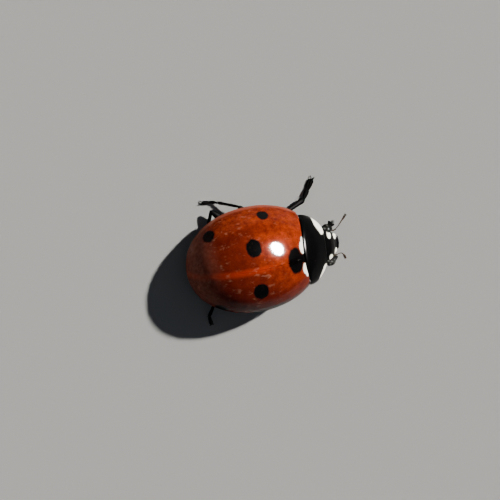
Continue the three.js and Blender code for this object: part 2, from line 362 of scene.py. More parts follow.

# %% [markdown]
# ### Fitting a piece to the frame
# Every piece stands for the solids it replaces, which are hidden, and rides on one root body. Small
# closed skins that belong together, such as the joints of a foot, are first joined into one piece.


# %% Fitting and joining pieces
def fitted(piece, slot, *solids):
    """Lets a piece stand for its solids and ride on the root body. The slot is not used."""
    if solids:
        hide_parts(*solids)
    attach(piece, "root")
    print(piece.name, len(piece.data.polygons), "faces")
    return piece


def joined(name, parts):
    """Several objects as one, each keeping its own closed skin."""
    work = bmesh.new()
    for part in parts:
        work.from_mesh(part.data)
    mesh = bpy.data.meshes.new(name)
    work.to_mesh(mesh)
    work.free()
    mesh.materials.append(parts[0].data.materials[0])
    for part in parts:
        old = part.data
        bpy.data.objects.remove(part)
        bpy.data.meshes.remove(old)
    return added(name, mesh)


print("pieces can be fitted and joined")

# %% [markdown]
# ## Finishes
# Beetle skin is a hard varnish over colour that lies deeper. A Principled shader with a clear coat
# gives the small sharp shine. The wide shine under it would grey the colour if it were white, so the
# base has hardly any specular of its own, and the wing cases have a trace of Metallic instead, which
# shines in their own red. Patterns are painted by place on the body, in millimetres, so a spot stays
# where it belongs from every side. Effects that several finishes share are node groups: a soft oval
# mark, a pitted skin, a cloudy tint and a scatter of dust.

# %% Adding and wiring nodes
def plug_in(tree, socket, value):
    """Links a socket to another node's output, or sets it to a plain value."""
    if isinstance(value, bpy.types.NodeSocket):
        tree.links.new(value, socket)
    else:
        socket.default_value = value


def add_node(tree, kind, inputs=None, **settings):
    """A node in a shader or geometry tree, with its inputs linked or set."""
    made = tree.nodes.new(kind)
    for setting, value in settings.items():
        setattr(made, setting, value)
    for socket, value in (inputs or {}).items():
        plug_in(tree, made.inputs[socket], value)
    return made


def new_group(name, kind, inputs, outputs):
    """An empty node group of a kind with named sockets, and the sockets of its two end nodes."""
    group = bpy.data.node_groups.new(name, kind)
    for socket, socket_kind, value in inputs:
        made = group.interface.new_socket(socket, in_out="INPUT", socket_type=socket_kind)
        if value is not None:
            made.default_value = value
    for socket, socket_kind in outputs:
        group.interface.new_socket(socket, in_out="OUTPUT", socket_type=socket_kind)
    return group, group.nodes.new("NodeGroupInput").outputs, group.nodes.new("NodeGroupOutput").inputs


def grouped(tree, group, **inputs):
    """A shared effect placed in a tree, with its own values. Underlines in their names are spaces."""
    made = add_node(tree, "ShaderNodeGroup", node_tree=group)
    for socket, value in inputs.items():
        plug_in(tree, made.inputs[socket.replace("_", " ")], value)
    return made.outputs


FLOAT, VECTOR, COLOUR = "NodeSocketFloat", "NodeSocketVector", "NodeSocketColor"
INTEGER, MATERIAL, GEOMETRY = "NodeSocketInt", "NodeSocketMaterial", "NodeSocketGeometry"
print("nodes can be added and wired")

# %% Sums and mixes in a node tree
def maths(tree, operation, first, second=0.0, third=0.0):
    inputs = {0: first, 1: second, 2: third}
    return add_node(tree, "ShaderNodeMath", inputs, operation=operation).outputs[0]


def times(tree, first, second):
    return maths(tree, "MULTIPLY", first, second)


def either(tree, masks):
    joined_mask = masks[0]
    for other in masks[1:]:
        joined_mask = maths(tree, "MAXIMUM", joined_mask, other)
    return joined_mask


def vectors(tree, operation, first, second=(0, 0, 0)):
    made = add_node(tree, "ShaderNodeVectorMath", {0: first, 1: second}, operation=operation)
    return made.outputs["Value" if operation == "LENGTH" else "Vector"]


def ramped(tree, value, low, high, to_low=0.0, to_high=1.0):
    """value, eased from to_low at low to to_high at high."""
    inputs = {"Value": value, "From Min": low, "From Max": high, "To Min": to_low, "To Max": to_high}
    kind = "SMOOTHSTEP"
    return add_node(tree, "ShaderNodeMapRange", inputs, interpolation_type=kind).outputs["Result"]


def mixed(tree, share, first, second):
    """Two colours mixed by a share. A Mix node for colours has them at sockets 6, 7 and 2."""
    return add_node(tree, "ShaderNodeMix", {0: share, 6: first, 7: second}, data_type="RGBA").outputs[2]


def noise_of(tree, place, scale, detail=3.0, rough=0.5, swirl=0.0):
    inputs = {"Vector": place, "Scale": scale, "Detail": detail, "Roughness": rough, "Distortion": swirl}
    return add_node(tree, "ShaderNodeTexNoise", inputs).outputs[0]


print("node sums are ready")

# %% [markdown]
# ### A soft oval mark
# Spots and pale patches on a beetle are ovals with slightly ragged, slightly blurred edges. Dividing
# the distance from the mark's centre by its three radii turns any oval into a ball of radius one.

# %% Node group: oval mark
WANDER_PER_MM = 4.5

oval_mark, given, result = new_group(
    "oval_mark", "ShaderNodeTree",
    [("Place", VECTOR, None), ("Centre", VECTOR, None), ("Radii", VECTOR, None),
     ("Softness", FLOAT, 0.1), ("Raggedness", FLOAT, 0.1)],
    [("Mask", FLOAT)],
)
offset = vectors(oval_mark, "SUBTRACT", given["Place"], given["Centre"])
distance = vectors(oval_mark, "LENGTH", vectors(oval_mark, "DIVIDE", offset, given["Radii"]))
wander = maths(oval_mark, "SUBTRACT", noise_of(oval_mark, given["Place"], WANDER_PER_MM), 0.5)
ragged = maths(oval_mark, "MULTIPLY_ADD", wander, given["Raggedness"], distance)
outer_edge = maths(oval_mark, "ADD", 1.0, given["Softness"])
inner_edge = maths(oval_mark, "SUBTRACT", 1.0, given["Softness"])
oval_mark.links.new(ramped(oval_mark, ragged, outer_edge, inner_edge), result["Mask"])


def marked(tree, place, marks):
    """Soft ovals at places on the body, as one mask.

    Each mark is a row of left, forward and up, its radii across, along and upright, all in
    millimetres, and the softness and raggedness of its edge.
    """
    masks = []
    for left, forward, up, radii, softness, raggedness in marks:
        wanted = {"Centre": (left, -forward, up), "Radii": radii}
        edge = {"Softness": softness, "Raggedness": raggedness}
        masks.append(grouped(tree, oval_mark, Place=place, **wanted, **edge)["Mask"])
    return either(tree, masks)


print("group:", oval_mark.name)

# %% [markdown]
# ### Pitted skin
# The whole skin is set with fine pits, some 0.1 mm apart on the wing cases. A Voronoi pattern gives
# one cell for each pit; its distance makes the bowl. A little noise keeps the varnish from looking
# moulded.

# %% Node group: pitted skin
PIT_FLOOR = 0.02  # how far the flat bottom of a pit reaches from its middle, in cells
SWELLS_PER_MM = 5.0

pitted_skin, given, result = new_group(
    "pitted_skin", "ShaderNodeTree",
    [("Place", VECTOR, None), ("Pits per mm", FLOAT, 11.0), ("Pit width", FLOAT, 0.3),
     ("Unevenness", FLOAT, 0.5)],
    [("Height", FLOAT)],
)
cells = add_node(pitted_skin, "ShaderNodeTexVoronoi", {
    "Vector": given["Place"], "Scale": given["Pits per mm"]})
bowl = ramped(pitted_skin, cells.outputs["Distance"], given["Pit width"], PIT_FLOOR)
swell = noise_of(pitted_skin, given["Place"], SWELLS_PER_MM, detail=4.0, rough=0.6)
flat_part = times(pitted_skin, swell, given["Unevenness"])
pitted_skin.links.new(maths(pitted_skin, "SUBTRACT", flat_part, bowl), result["Height"])


def pit(tree, shader, place, per_mm, width, unevenness, strength, depth_mm):
    """Sets a finish with pits, through a Bump node."""
    skin = grouped(tree, pitted_skin, Place=place, Pits_per_mm=per_mm, Pit_width=width,
                   Unevenness=unevenness)
    inputs = {"Height": skin["Height"], "Strength": strength, "Distance": depth_mm * MM}
    tree.links.new(add_node(tree, "ShaderNodeBump", inputs).outputs[0], shader.inputs["Normal"])


print("group:", pitted_skin.name)

# %% [markdown]
# ### Cloudy tint and dust
# Living wing cases are mottled, because the colour lies in cells under the varnish, and a beetle
# picks up pale dust. Broad, soft noise makes the clouds. A Voronoi pattern scatters the specks: every
# cell has a random colour, whose red decides if it holds a speck and whose green sets the size.

# %% Node groups: cloudy tint and dust
CLOUD_START, CLOUD_END = 0.20, 0.80

cloudy_tint, given, result = new_group(
    "cloudy_tint", "ShaderNodeTree",
    [("Place", VECTOR, None), ("Dark", COLOUR, None), ("Light", COLOUR, None),
     ("Per mm", FLOAT, 2.0)],
    [("Tint", COLOUR)],
)
broad = noise_of(cloudy_tint, given["Place"], given["Per mm"], detail=6.0, rough=0.68)
cloud = ramped(cloudy_tint, broad, CLOUD_START, CLOUD_END)
cloudy_tint.links.new(mixed(cloudy_tint, cloud, given["Dark"], given["Light"]), result["Tint"])

dust_specks, given, result = new_group(
    "dust_specks", "ShaderNodeTree",
    [("Place", VECTOR, None), ("Per mm", FLOAT, 6.0), ("Size", FLOAT, 0.12), ("Amount", FLOAT, 0.3)],
    [("Dust", FLOAT)],
)
cells = add_node(dust_specks, "ShaderNodeTexVoronoi", {
    "Vector": given["Place"], "Scale": given["Per mm"]})
chance = add_node(dust_specks, "ShaderNodeSeparateColor", {"Color": cells.outputs["Color"]})
size = times(dust_specks, given["Size"], chance.outputs["Green"])
speck = ramped(dust_specks, cells.outputs["Distance"], size, times(dust_specks, size, 0.1))
kept = maths(dust_specks, "LESS_THAN", chance.outputs["Red"], given["Amount"])
dust_specks.links.new(times(dust_specks, speck, kept), result["Dust"])
print("groups:", cloudy_tint.name, dust_specks.name)

# %% [markdown]
# ### One way to start every finish
# Each finish begins with the place on the body in millimetres, and again with left and right folded
# onto each other, so one mark paints a pair. A Mapping node turns the scene's metres into that place,
# and on the pronotum and the head it also undoes their turn.

# %% Starting a finish
COAT_IOR = 1.42


def start_finish(name, roughness, coat, coat_roughness, specular=0.0, turn=0.0):
    """A material, its shader, the place on the body in mm, and the same place folded at the midline."""
    finish = bpy.data.materials.new(name)
    finish.use_nodes = True
    tree = finish.node_tree
    shader = tree.nodes["Principled BSDF"]
    shader.inputs["Roughness"].default_value = roughness
    shader.inputs["Coat Weight"].default_value = coat
    shader.inputs["Coat Roughness"].default_value = coat_roughness
    shader.inputs["Coat IOR"].default_value = COAT_IOR
    shader.inputs["Specular IOR Level"].default_value = specular
    here = add_node(tree, "ShaderNodeTexCoord").outputs["Object"]
    c, s = math.cos(turn), math.sin(turn)
    x, y = -MIDLINE_X / MM, HINGE_FORWARD - MIDDLE_Y / MM
    own_axes = {"Vector": here, "Location": (c * x - s * y, s * x + c * y - HINGE_FORWARD, 0),
                "Rotation": (0, 0, turn), "Scale": [1 / MM] * 3}
    place = add_node(tree, "ShaderNodeMapping", own_axes).outputs["Vector"]
    parts = add_node(tree, "ShaderNodeSeparateXYZ", {"Vector": place}).outputs
    fold = {"X": maths(tree, "ABSOLUTE", parts["X"]), "Y": parts["Y"], "Z": parts["Z"]}
    folded = add_node(tree, "ShaderNodeCombineXYZ", fold).outputs["Vector"]
    return finish, tree, shader, place, folded


print("finishes can be started")

# %% [markdown]
# ### The wing cases: colour
# Seven black spots on orange-red: three on each case and one shared at the front of the seam. Beside
# the scutellum, the small shield at the front of the seam, each case has a white wedge. The spots'
# centres lie on the dome, and their three radii follow its slope, so a spot on the steep side is as
# round as one on top. Light and shade are painted into the red: it stays bright over two broad areas
# in front and on the left flank that face the light, and is painted a deeper red elsewhere as painted
# shade. A painted highlight, a lighter red, runs along the slight ridge of the seam. The folded edge
# under the rim faces down and is paler.

# %% Colours and marks of the wing cases
CASE_RED = (0.052, 0.0036, 0.0015, 1)
CASE_ORANGE = (0.235, 0.0250, 0.0046, 1)
# painted highlight: a lighter red for the seam's ridge, where it catches the light
RIDGE_HIGHLIGHT_RED = (0.265, 0.020, 0.005, 1)
CASE_EDGE = (0.40, 0.09, 0.02, 1)
SPOT_BLACK = (0.0011, 0.0009, 0.0009, 1)
IVORY = (0.93, 0.90, 0.78, 1)
PAIRED_SPOTS = [
    (2.42, 0.64, 2.04, (0.32, 0.31, 0.38), 0.17, 0.35),
    (1.15, -0.28, 3.30, (0.47, 0.40, 0.50), 0.14, 0.35),
    (1.89, -2.21, 1.88, (0.36, 0.34, 0.44), 0.18, 0.35),
]
SHARED_SPOT = (0.02, 1.73, 3.19, (0.69, 0.42, 0.60), 0.12, 0.35)
WHITE_WEDGES = [
    (0.55, 2.24, 3.0, (0.32, 0.175, 9.0), 0.12, 0.1),
    (0.80, 2.30, 3.0, (0.24, 0.10, 9.0), 0.16, 0.1),
]
# painted light: two broad areas that face the light, in front and on the left flank, keep a bright red
PAINTED_LIGHT_AREAS = [
    (1.15, 1.5, 2.8, (2.35, 1.7, 3.0), 0.6, 0.3),
    (2.6, -0.4, 1.5, (1.0, 2.6, 1.3), 0.5, 0.3),
]
print("spots:", 2 * len(PAIRED_SPOTS) + 1)

# %% Finish: wing case, colour
# A fade is four numbers: where it starts and ends, and its value before and after. Places on the
# case are left, backward and up here, because the scene's Y grows towards the tail.
CLOUDS_PER_MM = 2.4
MOTTLES_PER_MM, MOTTLE_FADE = 11.0, (0.44, 0.64, 0.0, 0.32)
PAINTED_SHADE_FADE = (0.0, 1.0, 0.72, 0.0)  # painted shade: how far the red is deepened outside and inside the painted light areas
# where the painted highlight of the seam's ridge lies, across the seam and along it
RIDGE_HIGHLIGHT_SIDE_FADE, RIDGE_HIGHLIGHT_FRONT_FADE = (0.27, 0.04, 0.0, 0.6), (-1.1, 0.2)
FOLDED_FADE = (-0.55, -0.8)  # by how far the skin faces down
GRAIN = {"Rotation": (0, 0, 0.3), "Scale": (1.3, 0.8, 1.0)}

wing_case, tree, shader, place, folded = start_finish("wing_case", 0.46, 0.50, 0.08)
shader.inputs["Metallic"].default_value = 0.012
at = add_node(tree, "ShaderNodeSeparateXYZ", {"Vector": place}).outputs
from_midline = maths(tree, "ABSOLUTE", at["X"])
grain = add_node(tree, "ShaderNodeMapping", {"Vector": place, **GRAIN}).outputs["Vector"]
tint = grouped(tree, cloudy_tint, Place=place, Dark=CASE_RED, Light=CASE_ORANGE,
               Per_mm=CLOUDS_PER_MM)["Tint"]
mottles = ramped(tree, noise_of(tree, grain, MOTTLES_PER_MM, rough=0.7), *MOTTLE_FADE)
tint = mixed(tree, mottles, tint, CASE_RED)
# painted light and shade: outside the painted light areas the red is darkened as painted shade
painted_shade = ramped(tree, marked(tree, place, PAINTED_LIGHT_AREAS), *PAINTED_SHADE_FADE)
tint = mixed(tree, painted_shade, tint, CASE_RED)
# painted highlight: the seam's ridge is painted a lighter red
ridge = times(tree, ramped(tree, from_midline, *RIDGE_HIGHLIGHT_SIDE_FADE), ramped(tree, at["Y"], *RIDGE_HIGHLIGHT_FRONT_FADE))
tint = mixed(tree, ridge, tint, RIDGE_HIGHLIGHT_RED)
spots = either(tree, [marked(tree, folded, PAIRED_SPOTS), marked(tree, place, [SHARED_SPOT])])
tint = mixed(tree, marked(tree, folded, WHITE_WEDGES), tint, IVORY)
painted = mixed(tree, spots, tint, SPOT_BLACK)
facing_way = add_node(tree, "ShaderNodeNewGeometry").outputs["Normal"]
facing_up = add_node(tree, "ShaderNodeSeparateXYZ", {"Vector": facing_way}).outputs["Z"]
painted = mixed(tree, ramped(tree, facing_up, *FOLDED_FADE), painted, CASE_EDGE)
print(wing_case.name, "colour:", len(tree.nodes), "nodes")

# %% [markdown]
# ### The wing cases: dust and painted sheen
# Dust lies on the cases as irregular flecks with a few specks between them. Round dots alone would
# look printed, so the flecks come from swirled noise. Both come in patches and get fewer forwards. A
# paler film covers the tail, partly dust and partly a painted reflection of the rim's sheen. The
# lowest margin is painted paler as a painted reflection, and the black spots stay almost bare.

# %% Finish: wing case, dust and painted sheen
DUST = (0.42, 0.22, 0.13, 1)
# a pale haze: on the tail partly dust and partly painted reflection, on the lowest margin painted reflection
DUST_AND_SHEEN_HAZE = (0.40, 0.15, 0.10, 1)
FLECKS_PER_MM, FLECK_SWIRL, FLECK_FADE = 3.3, 0.8, (0.57, 0.74)
SPECKS = {"Per_mm": 5.0, "Size": 0.80, "Amount": 0.30}
SPECK_SHARE = 0.6
PATCHES_PER_MM, PATCH_FADE = 1.7, (0.40, 0.60)
TAILWARD_FADE = (-2.0, 1.0, 0.04, 0.22)
FILM_CLOUDS_PER_MM, FILM_FADE = 5.0, (1.8, 3.2, 0.0, 0.62)
# painted reflection along the lowest margin
RIM_SHEEN_FADE = (1.35, 0.95, 0.0, 0.30)  # by height over the floor
SPOT_BARENESS = 0.9

swirled = noise_of(tree, grain, FLECKS_PER_MM, detail=2.0, swirl=FLECK_SWIRL)
flecks = ramped(tree, swirled, *FLECK_FADE)
specks = grouped(tree, dust_specks, Place=grain, **SPECKS)["Dust"]
specks = either(tree, [times(tree, specks, SPECK_SHARE), flecks])
patches = ramped(tree, noise_of(tree, place, PATCHES_PER_MM), *PATCH_FADE)
dusty = times(tree, times(tree, specks, patches), ramped(tree, at["Y"], *TAILWARD_FADE))
# the film over the tail: partly dust, partly a painted reflection of the rim's sheen
film_clouds = noise_of(tree, place, FILM_CLOUDS_PER_MM, detail=4.0)
film = times(tree, film_clouds, ramped(tree, at["Y"], *FILM_FADE))
bare = maths(tree, "SUBTRACT", 1.0, times(tree, spots, SPOT_BARENESS))
painted = mixed(tree, times(tree, dusty, bare), painted, DUST)
# painted reflection: the lowest margin is painted paler, standing in for the sheen of the thinned varnish
rim_sheen = ramped(tree, at["Z"], *RIM_SHEEN_FADE)
painted = mixed(tree, either(tree, [rim_sheen, times(tree, film, bare)]), painted, DUST_AND_SHEEN_HAZE)
tree.links.new(painted, shader.inputs["Base Color"])
print(wing_case.name, "with dust:", len(tree.nodes), "nodes")

# %% [markdown]
# ### The wing cases: pits and varnish
# The varnish is thinner towards the rim and along the seam, where a full coat would mirror the floor
# and draw a hard white line. Its coat is set by two fades, and the skin under it is unevenly rough.

# %% Finish: wing case, pits and varnish
CROWN = (0.9, 0.9, 3.1, (2.1, 2.9, 1.9), 0.4, 0.1)
CROWN_COAT_FADE = (0.0, 1.0, 0.25, 1.0)
SEAM_COAT_FADE = (0.10, 0.22, 0.0, 0.5)
ROUGH_AREAS_PER_MM = 3.0
ROUGHNESS_SPREAD, LEAST_ROUGHNESS = 0.20, 0.34

pit(tree, shader, place, per_mm=9.5, width=0.26, unevenness=2.2, strength=0.55, depth_mm=0.006)
varnish = times(tree, ramped(tree, from_midline, *SEAM_COAT_FADE),
                ramped(tree, marked(tree, folded, [CROWN]), *CROWN_COAT_FADE))
tree.links.new(varnish, shader.inputs["Coat Weight"])
rough_areas = noise_of(tree, place, ROUGH_AREAS_PER_MM)
uneven = maths(tree, "MULTIPLY_ADD", rough_areas, ROUGHNESS_SPREAD, LEAST_ROUGHNESS)
tree.links.new(uneven, shader.inputs["Roughness"])
print(wing_case.name, "finished:", len(tree.nodes), "nodes")

# %% [markdown]
# ### Pronotum, head and the rest of the body
# The black parts are the same varnish over black, more finely pitted. The pronotum has an ivory
# patch at each front corner, and the head a pair of ivory marks inside the eyes and a smaller pair
# on the front edge. The underside is duller, with a pale patch on each flank behind the front legs.
# Legs, feelers and hairs have no coat, so they don't glitter.

# %% A recipe for the black parts
BLACK_CLOUDS_PER_MM = 3.0
BLACK_SPECKS = {"Per_mm": 6.0, "Size": 0.18, "Amount": 0.10}
BLACK = (0.0007, 0.0007, 0.0008, 1)
SOOT = (0.0022, 0.0020, 0.0020, 1)
BROWN_BLACK = (0.006, 0.0036, 0.0026, 1)
AMBER = (0.060, 0.038, 0.022, 1)


def black_finish(name, dark=BLACK, light=SOOT, marks=(), pits=16.0, roughness=0.34, coat=0.40,
                 blur=0.07, depth=0.004, specular=0.0, turn=0.0, dusty=0.25):
    """Black cuticle with ivory oval marks, each mirrored to the other side."""
    finish, tree, shader, place, folded = start_finish(name, roughness, coat, blur, specular, turn)
    clouds = {"Dark": dark, "Light": light, "Per_mm": BLACK_CLOUDS_PER_MM}
    tint = grouped(tree, cloudy_tint, Place=place, **clouds)["Tint"]
    if marks:
        tint = mixed(tree, marked(tree, folded, marks), tint, IVORY)
    specks = grouped(tree, dust_specks, Place=place, **BLACK_SPECKS)["Dust"]
    tint = mixed(tree, times(tree, specks, dusty), tint, DUST)
    tree.links.new(tint, shader.inputs["Base Color"])
    pit(tree, shader, place, pits, width=0.3, unevenness=0.8, strength=0.5, depth_mm=depth)
    return finish


print("black finishes can be made")

# %% Finishes: black parts
PRONOTUM_MARKS = [
    (1.62, 3.66, 1.4, (0.78, 0.54, 9.0), 0.07, 0.12),
    (1.05, 3.53, 1.4, (0.27, 0.19, 9.0), 0.14, 0.12),
]
HEAD_MARKS = [
    (0.56, 3.92, 1.30, (0.19, 0.125, 0.40), 0.12, 0.15),
    (0.71, 3.90, 1.30, (0.14, 0.075, 0.40), 0.12, 0.15),
    (0.40, 4.295, 0.98, (0.18, 0.105, 0.30), 0.12, 0.15),
]
FLANK_MARK = (2.02, 1.95, 0.85, (0.45, 0.42, 0.35), 0.1, 0.15)

pronotum_finish = black_finish("pronotum", light=BLACK, marks=PRONOTUM_MARKS, roughness=0.30, coat=0.15,
                               blur=0.12, specular=0.010, turn=HEAD_TURN, dusty=0.10)
head_finish = black_finish("head", marks=HEAD_MARKS, pits=22.0, turn=HEAD_TURN)
shield_finish = black_finish("scutellum", coat=0.08)
underside_finish = black_finish("underside", marks=[FLANK_MARK], pits=12.0, roughness=0.5, coat=0.15,
                                depth=0.006)
leg_finish = black_finish("leg", pits=26.0, roughness=0.42, coat=0.0, specular=0.004, dusty=0.03)
foot_finish = black_finish("foot", pits=26.0, roughness=0.5, coat=0.0, specular=0.002, dusty=0.03)
feeler_finish = black_finish("feeler", BROWN_BLACK, AMBER, pits=30.0, roughness=0.5, coat=0.0,
                             specular=0.006)
eye_finish = black_finish("eye", (0.0020, 0.0022, 0.0018, 1), (0.0050, 0.0052, 0.0044, 1), pits=4.0,
                          roughness=0.30, coat=0.16, blur=0.22, depth=0.001, dusty=0.0)
bristle_finish = black_finish("bristle", (0.002, 0.0015, 0.001, 1), (0.022, 0.016, 0.011, 1), pits=4.0,
                              roughness=0.6, coat=0.0, depth=0.001, dusty=0.0)
down_finish = black_finish("down", (0.07, 0.058, 0.045, 1), (0.17, 0.145, 0.11, 1), pits=4.0,
                           roughness=0.6, coat=0.0, depth=0.001)
print("finishes:", len(bpy.data.materials))

# %% [markdown]
# ## Thin plates
# Wing cases, scutellum and pronotum are hard plates about a tenth of a millimetre thick. Solidify
# would give a surface its thickness with square edges. Here one grid of points follows the middle of
# the plate, and the two faces close in on it near every edge, along a quarter circle, so that every
# edge is round.

# %% Plates from a grid of points
EDGE_STEPS = np.array([0, 0.07, 0.28, 0.62])


def crowded(count, near_start, near_end):
    """Shares from 0 to 1, evenly spread, with four more crowded into each end."""
    inside = np.linspace(near_start, 1 - near_end, count)
    return np.concatenate([EDGE_STEPS * near_start, inside, 1 - (EDGE_STEPS * near_end)[::-1]])


def reach_from_edges(grid):
    """How far each point of a grid lies from the grid's nearest edge, along its rows or columns."""
    reach = np.full(grid.shape[:2], np.inf)
    for axis in (0, 1):
        steps = np.linalg.norm(np.diff(grid, axis=axis), axis=2)
        run = np.pad(np.cumsum(steps, axis=axis), [(1, 0), (0, 0)] if axis == 0 else [(0, 0), (1, 0)])
        total = run[-1:] if axis == 0 else run[:, -1:]
        reach = np.minimum(reach, np.minimum(run, total - run))
    return reach


def plate(name, grid, thickness, finish, swelling=0.0):
    """A thin closed shell round a grid of points [row, column, (left, forward, up)], edges rounded.

    Swelling adds to both faces; where it is negative, it takes only from the inner one.
    """
    half = np.full(grid.shape[:2], thickness / 2) + swelling
    share = np.clip(reach_from_edges(grid) / half, 0, 1)
    rounded = np.sqrt(np.clip(1 - (1 - share) ** 2, 0, 1))
    rounded[0] = rounded[-1] = 0
    rounded[:, 0] = rounded[:, -1] = 0
    over = (thickness / 2 + np.maximum(swelling, 0)) * rounded
    under = half * rounded
    normal = np.cross(np.gradient(grid, axis=0), np.gradient(grid, axis=1))
    normal /= np.maximum(np.linalg.norm(normal, axis=2), 1e-9)[..., None]
    rows, columns = grid.shape[:2]
    index = np.arange(rows * columns).reshape(rows, columns)
    quads = np.stack([index[:-1, :-1], index[:-1, 1:], index[1:, 1:], index[1:, :-1]], -1).reshape(-1, 4)
    upward = normal * (np.sign(normal[..., 2].mean()) or 1)
    points = np.concatenate([(grid + upward * over[..., None]).reshape(-1, 3),
                             (grid - upward * under[..., None]).reshape(-1, 3)])
    faces = quads.tolist() + (quads[:, ::-1] + rows * columns).tolist()
    u, v = np.meshgrid(np.linspace(0, 0.48, columns), np.linspace(0, 1, rows))
    flat = np.stack([u.ravel(), v.ravel()], 1)
    uv = np.concatenate([flat[quads], flat[quads[:, ::-1]] + [0.5, 0]])
    return finished_mesh(name, points, faces, finish, uv)


print("plates can be made")

# %% [markdown]
# ## The wing cases
# Each wing case is half of an oval dome. Along the seam it has a fine raised bead, outside it turns up
# in a narrow lip, and below the lip a flat band, the epipleuron, folds in under the body. A subdivided
# sphere could give the dome, but not the lip and the fold. Two formulas give the dome and the curved
# line where its front ends, and everything else follows them.

# %% The dome and its base
CASE_SKIN = 0.11
CASE_INSET = 0.065  # from the outline to the middle of the shell
SEAM_GAP = 0.0015
SHIELD_HALF_WIDTH = 0.28
SHIELD_LENGTH = 0.42


def dome_up(left, forward, inset):
    """Height of the dome over a place on the body."""
    across = np.abs(left / (CASE_HALF_WIDTH - inset)) ** PLAN_POWER
    along = np.abs(forward / (CASE_HALF_LENGTH - inset)) ** PLAN_POWER
    spread = np.clip(across + along, 0, 1) ** (ARCH_POWER / PLAN_POWER)
    return RIM_UP + (CASE_RISE - inset) * (1 - spread) ** (1 / ARCH_POWER)


def base_forward(left):
    """How far forward the wing cases reach at a place left of the midline."""
    return BASE_FORWARD + SHOULDER_LEAD * (left / SHOULDER_LEFT) ** 2


print("dome", round(dome_up(0.0, 0.0, 0.0), 2), "mm high,", round(2 * CASE_HALF_WIDTH, 2), "mm wide")

# %% [markdown]
# The rows of the grid run from the seam to the rim, and they crowd together towards the tail, where
# the dome turns down steeply. Two angles do that: one steps along the seam, one along the rim. The
# front corner at the seam is cut back to make room for the scutellum.

# %% Seam and rim of a wing case
CASE_WIDTH, CASE_LENGTH = CASE_HALF_WIDTH - CASE_INSET, CASE_HALF_LENGTH - CASE_INSET
CORNER_TURNS = np.linspace(0.6, 1.1, 200)


def rim_place(turn):
    """Left and forward of the rim at an angle from the widest place."""
    left = CASE_WIDTH * powered(np.cos(turn), 2 / PLAN_POWER)
    return left, CASE_LENGTH * powered(np.sin(turn), 2 / PLAN_POWER)


def seam_line(v):
    """Left and forward along the seam, at shares v from the base to the tail."""
    turn = np.interp(v, [0, 1], [-math.asin((BASE_FORWARD - 0.02) / CASE_LENGTH), math.pi / 2])
    forward = -CASE_LENGTH * np.sin(turn)
    shield = np.clip((forward - BASE_FORWARD + SHIELD_LENGTH) / SHIELD_LENGTH, 0, 1)
    return SEAM_GAP + SHIELD_HALF_WIDTH * shield, forward


def rim_line(v):
    """Angle, left and forward along the rim, and the way outwards from it."""
    corner_left, corner_forward = rim_place(CORNER_TURNS)
    corner = np.interp(0, corner_forward - base_forward(corner_left), CORNER_TURNS)
    turn = np.interp(v, [0, 1], [-corner, math.pi / 2])
    left, forward = rim_place(turn)
    forward = -forward
    outward = np.stack([np.gradient(forward), -np.gradient(left)], 1)
    outward *= np.sign(outward[:, 0] * left + outward[:, 1] * forward)[:, None]
    outward /= np.linalg.norm(outward, axis=1)[:, None]
    return turn, left, forward, outward


print("the seam runs from", np.round(seam_line(np.array([0.0, 1.0]))[1], 2), "mm forward")

# %% [markdown]
# Between seam and rim the points lie on the dome. Near the seam the shell is thinner inside, so that
# the two edges meet in a hairline and not in a groove. Near the rim it flares out into the lip, and
# past the rim a few more columns go round the lip and in along the band.

# %% The grid of a wing case
LIP_OUT = 0.020
LIP_RISE = 0.24
LIP_TURNS = [(LIP_OUT + 0.012, -0.022), (LIP_OUT + 0.010, -0.048), (LIP_OUT - 0.008, -0.066), (0, -0.070)]
BAND_WIDTHS = [(-0.8, 0.36), (-0.2, 0.46), (1.0, 0.28), (1.57, 0.12)]  # angle along the rim, width
BAND_SHARES = (0.2, 0.4, 0.6, 0.8, 0.93, 1.0)
BAND_DROP, BAND_LIFT = -0.070, 0.05
BOW_FADE = 3  # the bow of the base is gone at a third of the way to the tail
SEAM_THINNING = 0.044
SEAM_THINNING_WIDTH = 0.03
SEAM_BEAD = 0.008
SEAM_BEAD_WIDTH = 0.09
SEAM_SHARES = [0, 0.004, 0.009, 0.015, 0.022, 0.031]


def dome_part(v, rim_left, rim_forward, outward):
    """Left, forward and up of the grid between seam and rim, and how much thinner it is."""
    seam_left, seam_forward = seam_line(v)
    s = np.concatenate([SEAM_SHARES, np.sin(np.linspace(0.045, 1, 52) * math.pi / 2)])
    left = seam_left[:, None] + s * (rim_left - seam_left)[:, None]
    forward = seam_forward[:, None] + s * (rim_forward - seam_forward)[:, None]
    base_start, base_end = base_forward(seam_left)[:, None], base_forward(rim_left)[:, None]
    bow = base_forward(left) - (base_start + s * (base_end - base_start))
    forward = forward + bow * np.clip(1 - BOW_FADE * v, 0, 1)[:, None] ** 2
    from_seam = left - seam_left[:, None]
    thinner = -SEAM_THINNING * np.exp(-((from_seam / SEAM_THINNING_WIDTH) ** 2))
    up = dome_up(left, forward, CASE_INSET) + SEAM_BEAD * np.exp(-((from_seam / SEAM_BEAD_WIDTH) ** 2))
    flare = LIP_OUT * (1 - np.clip((up - RIM_UP) / LIP_RISE, 0, 1)) ** 2
    return left + flare * outward[:, None, 0], forward + flare * outward[:, None, 1], up, thinner


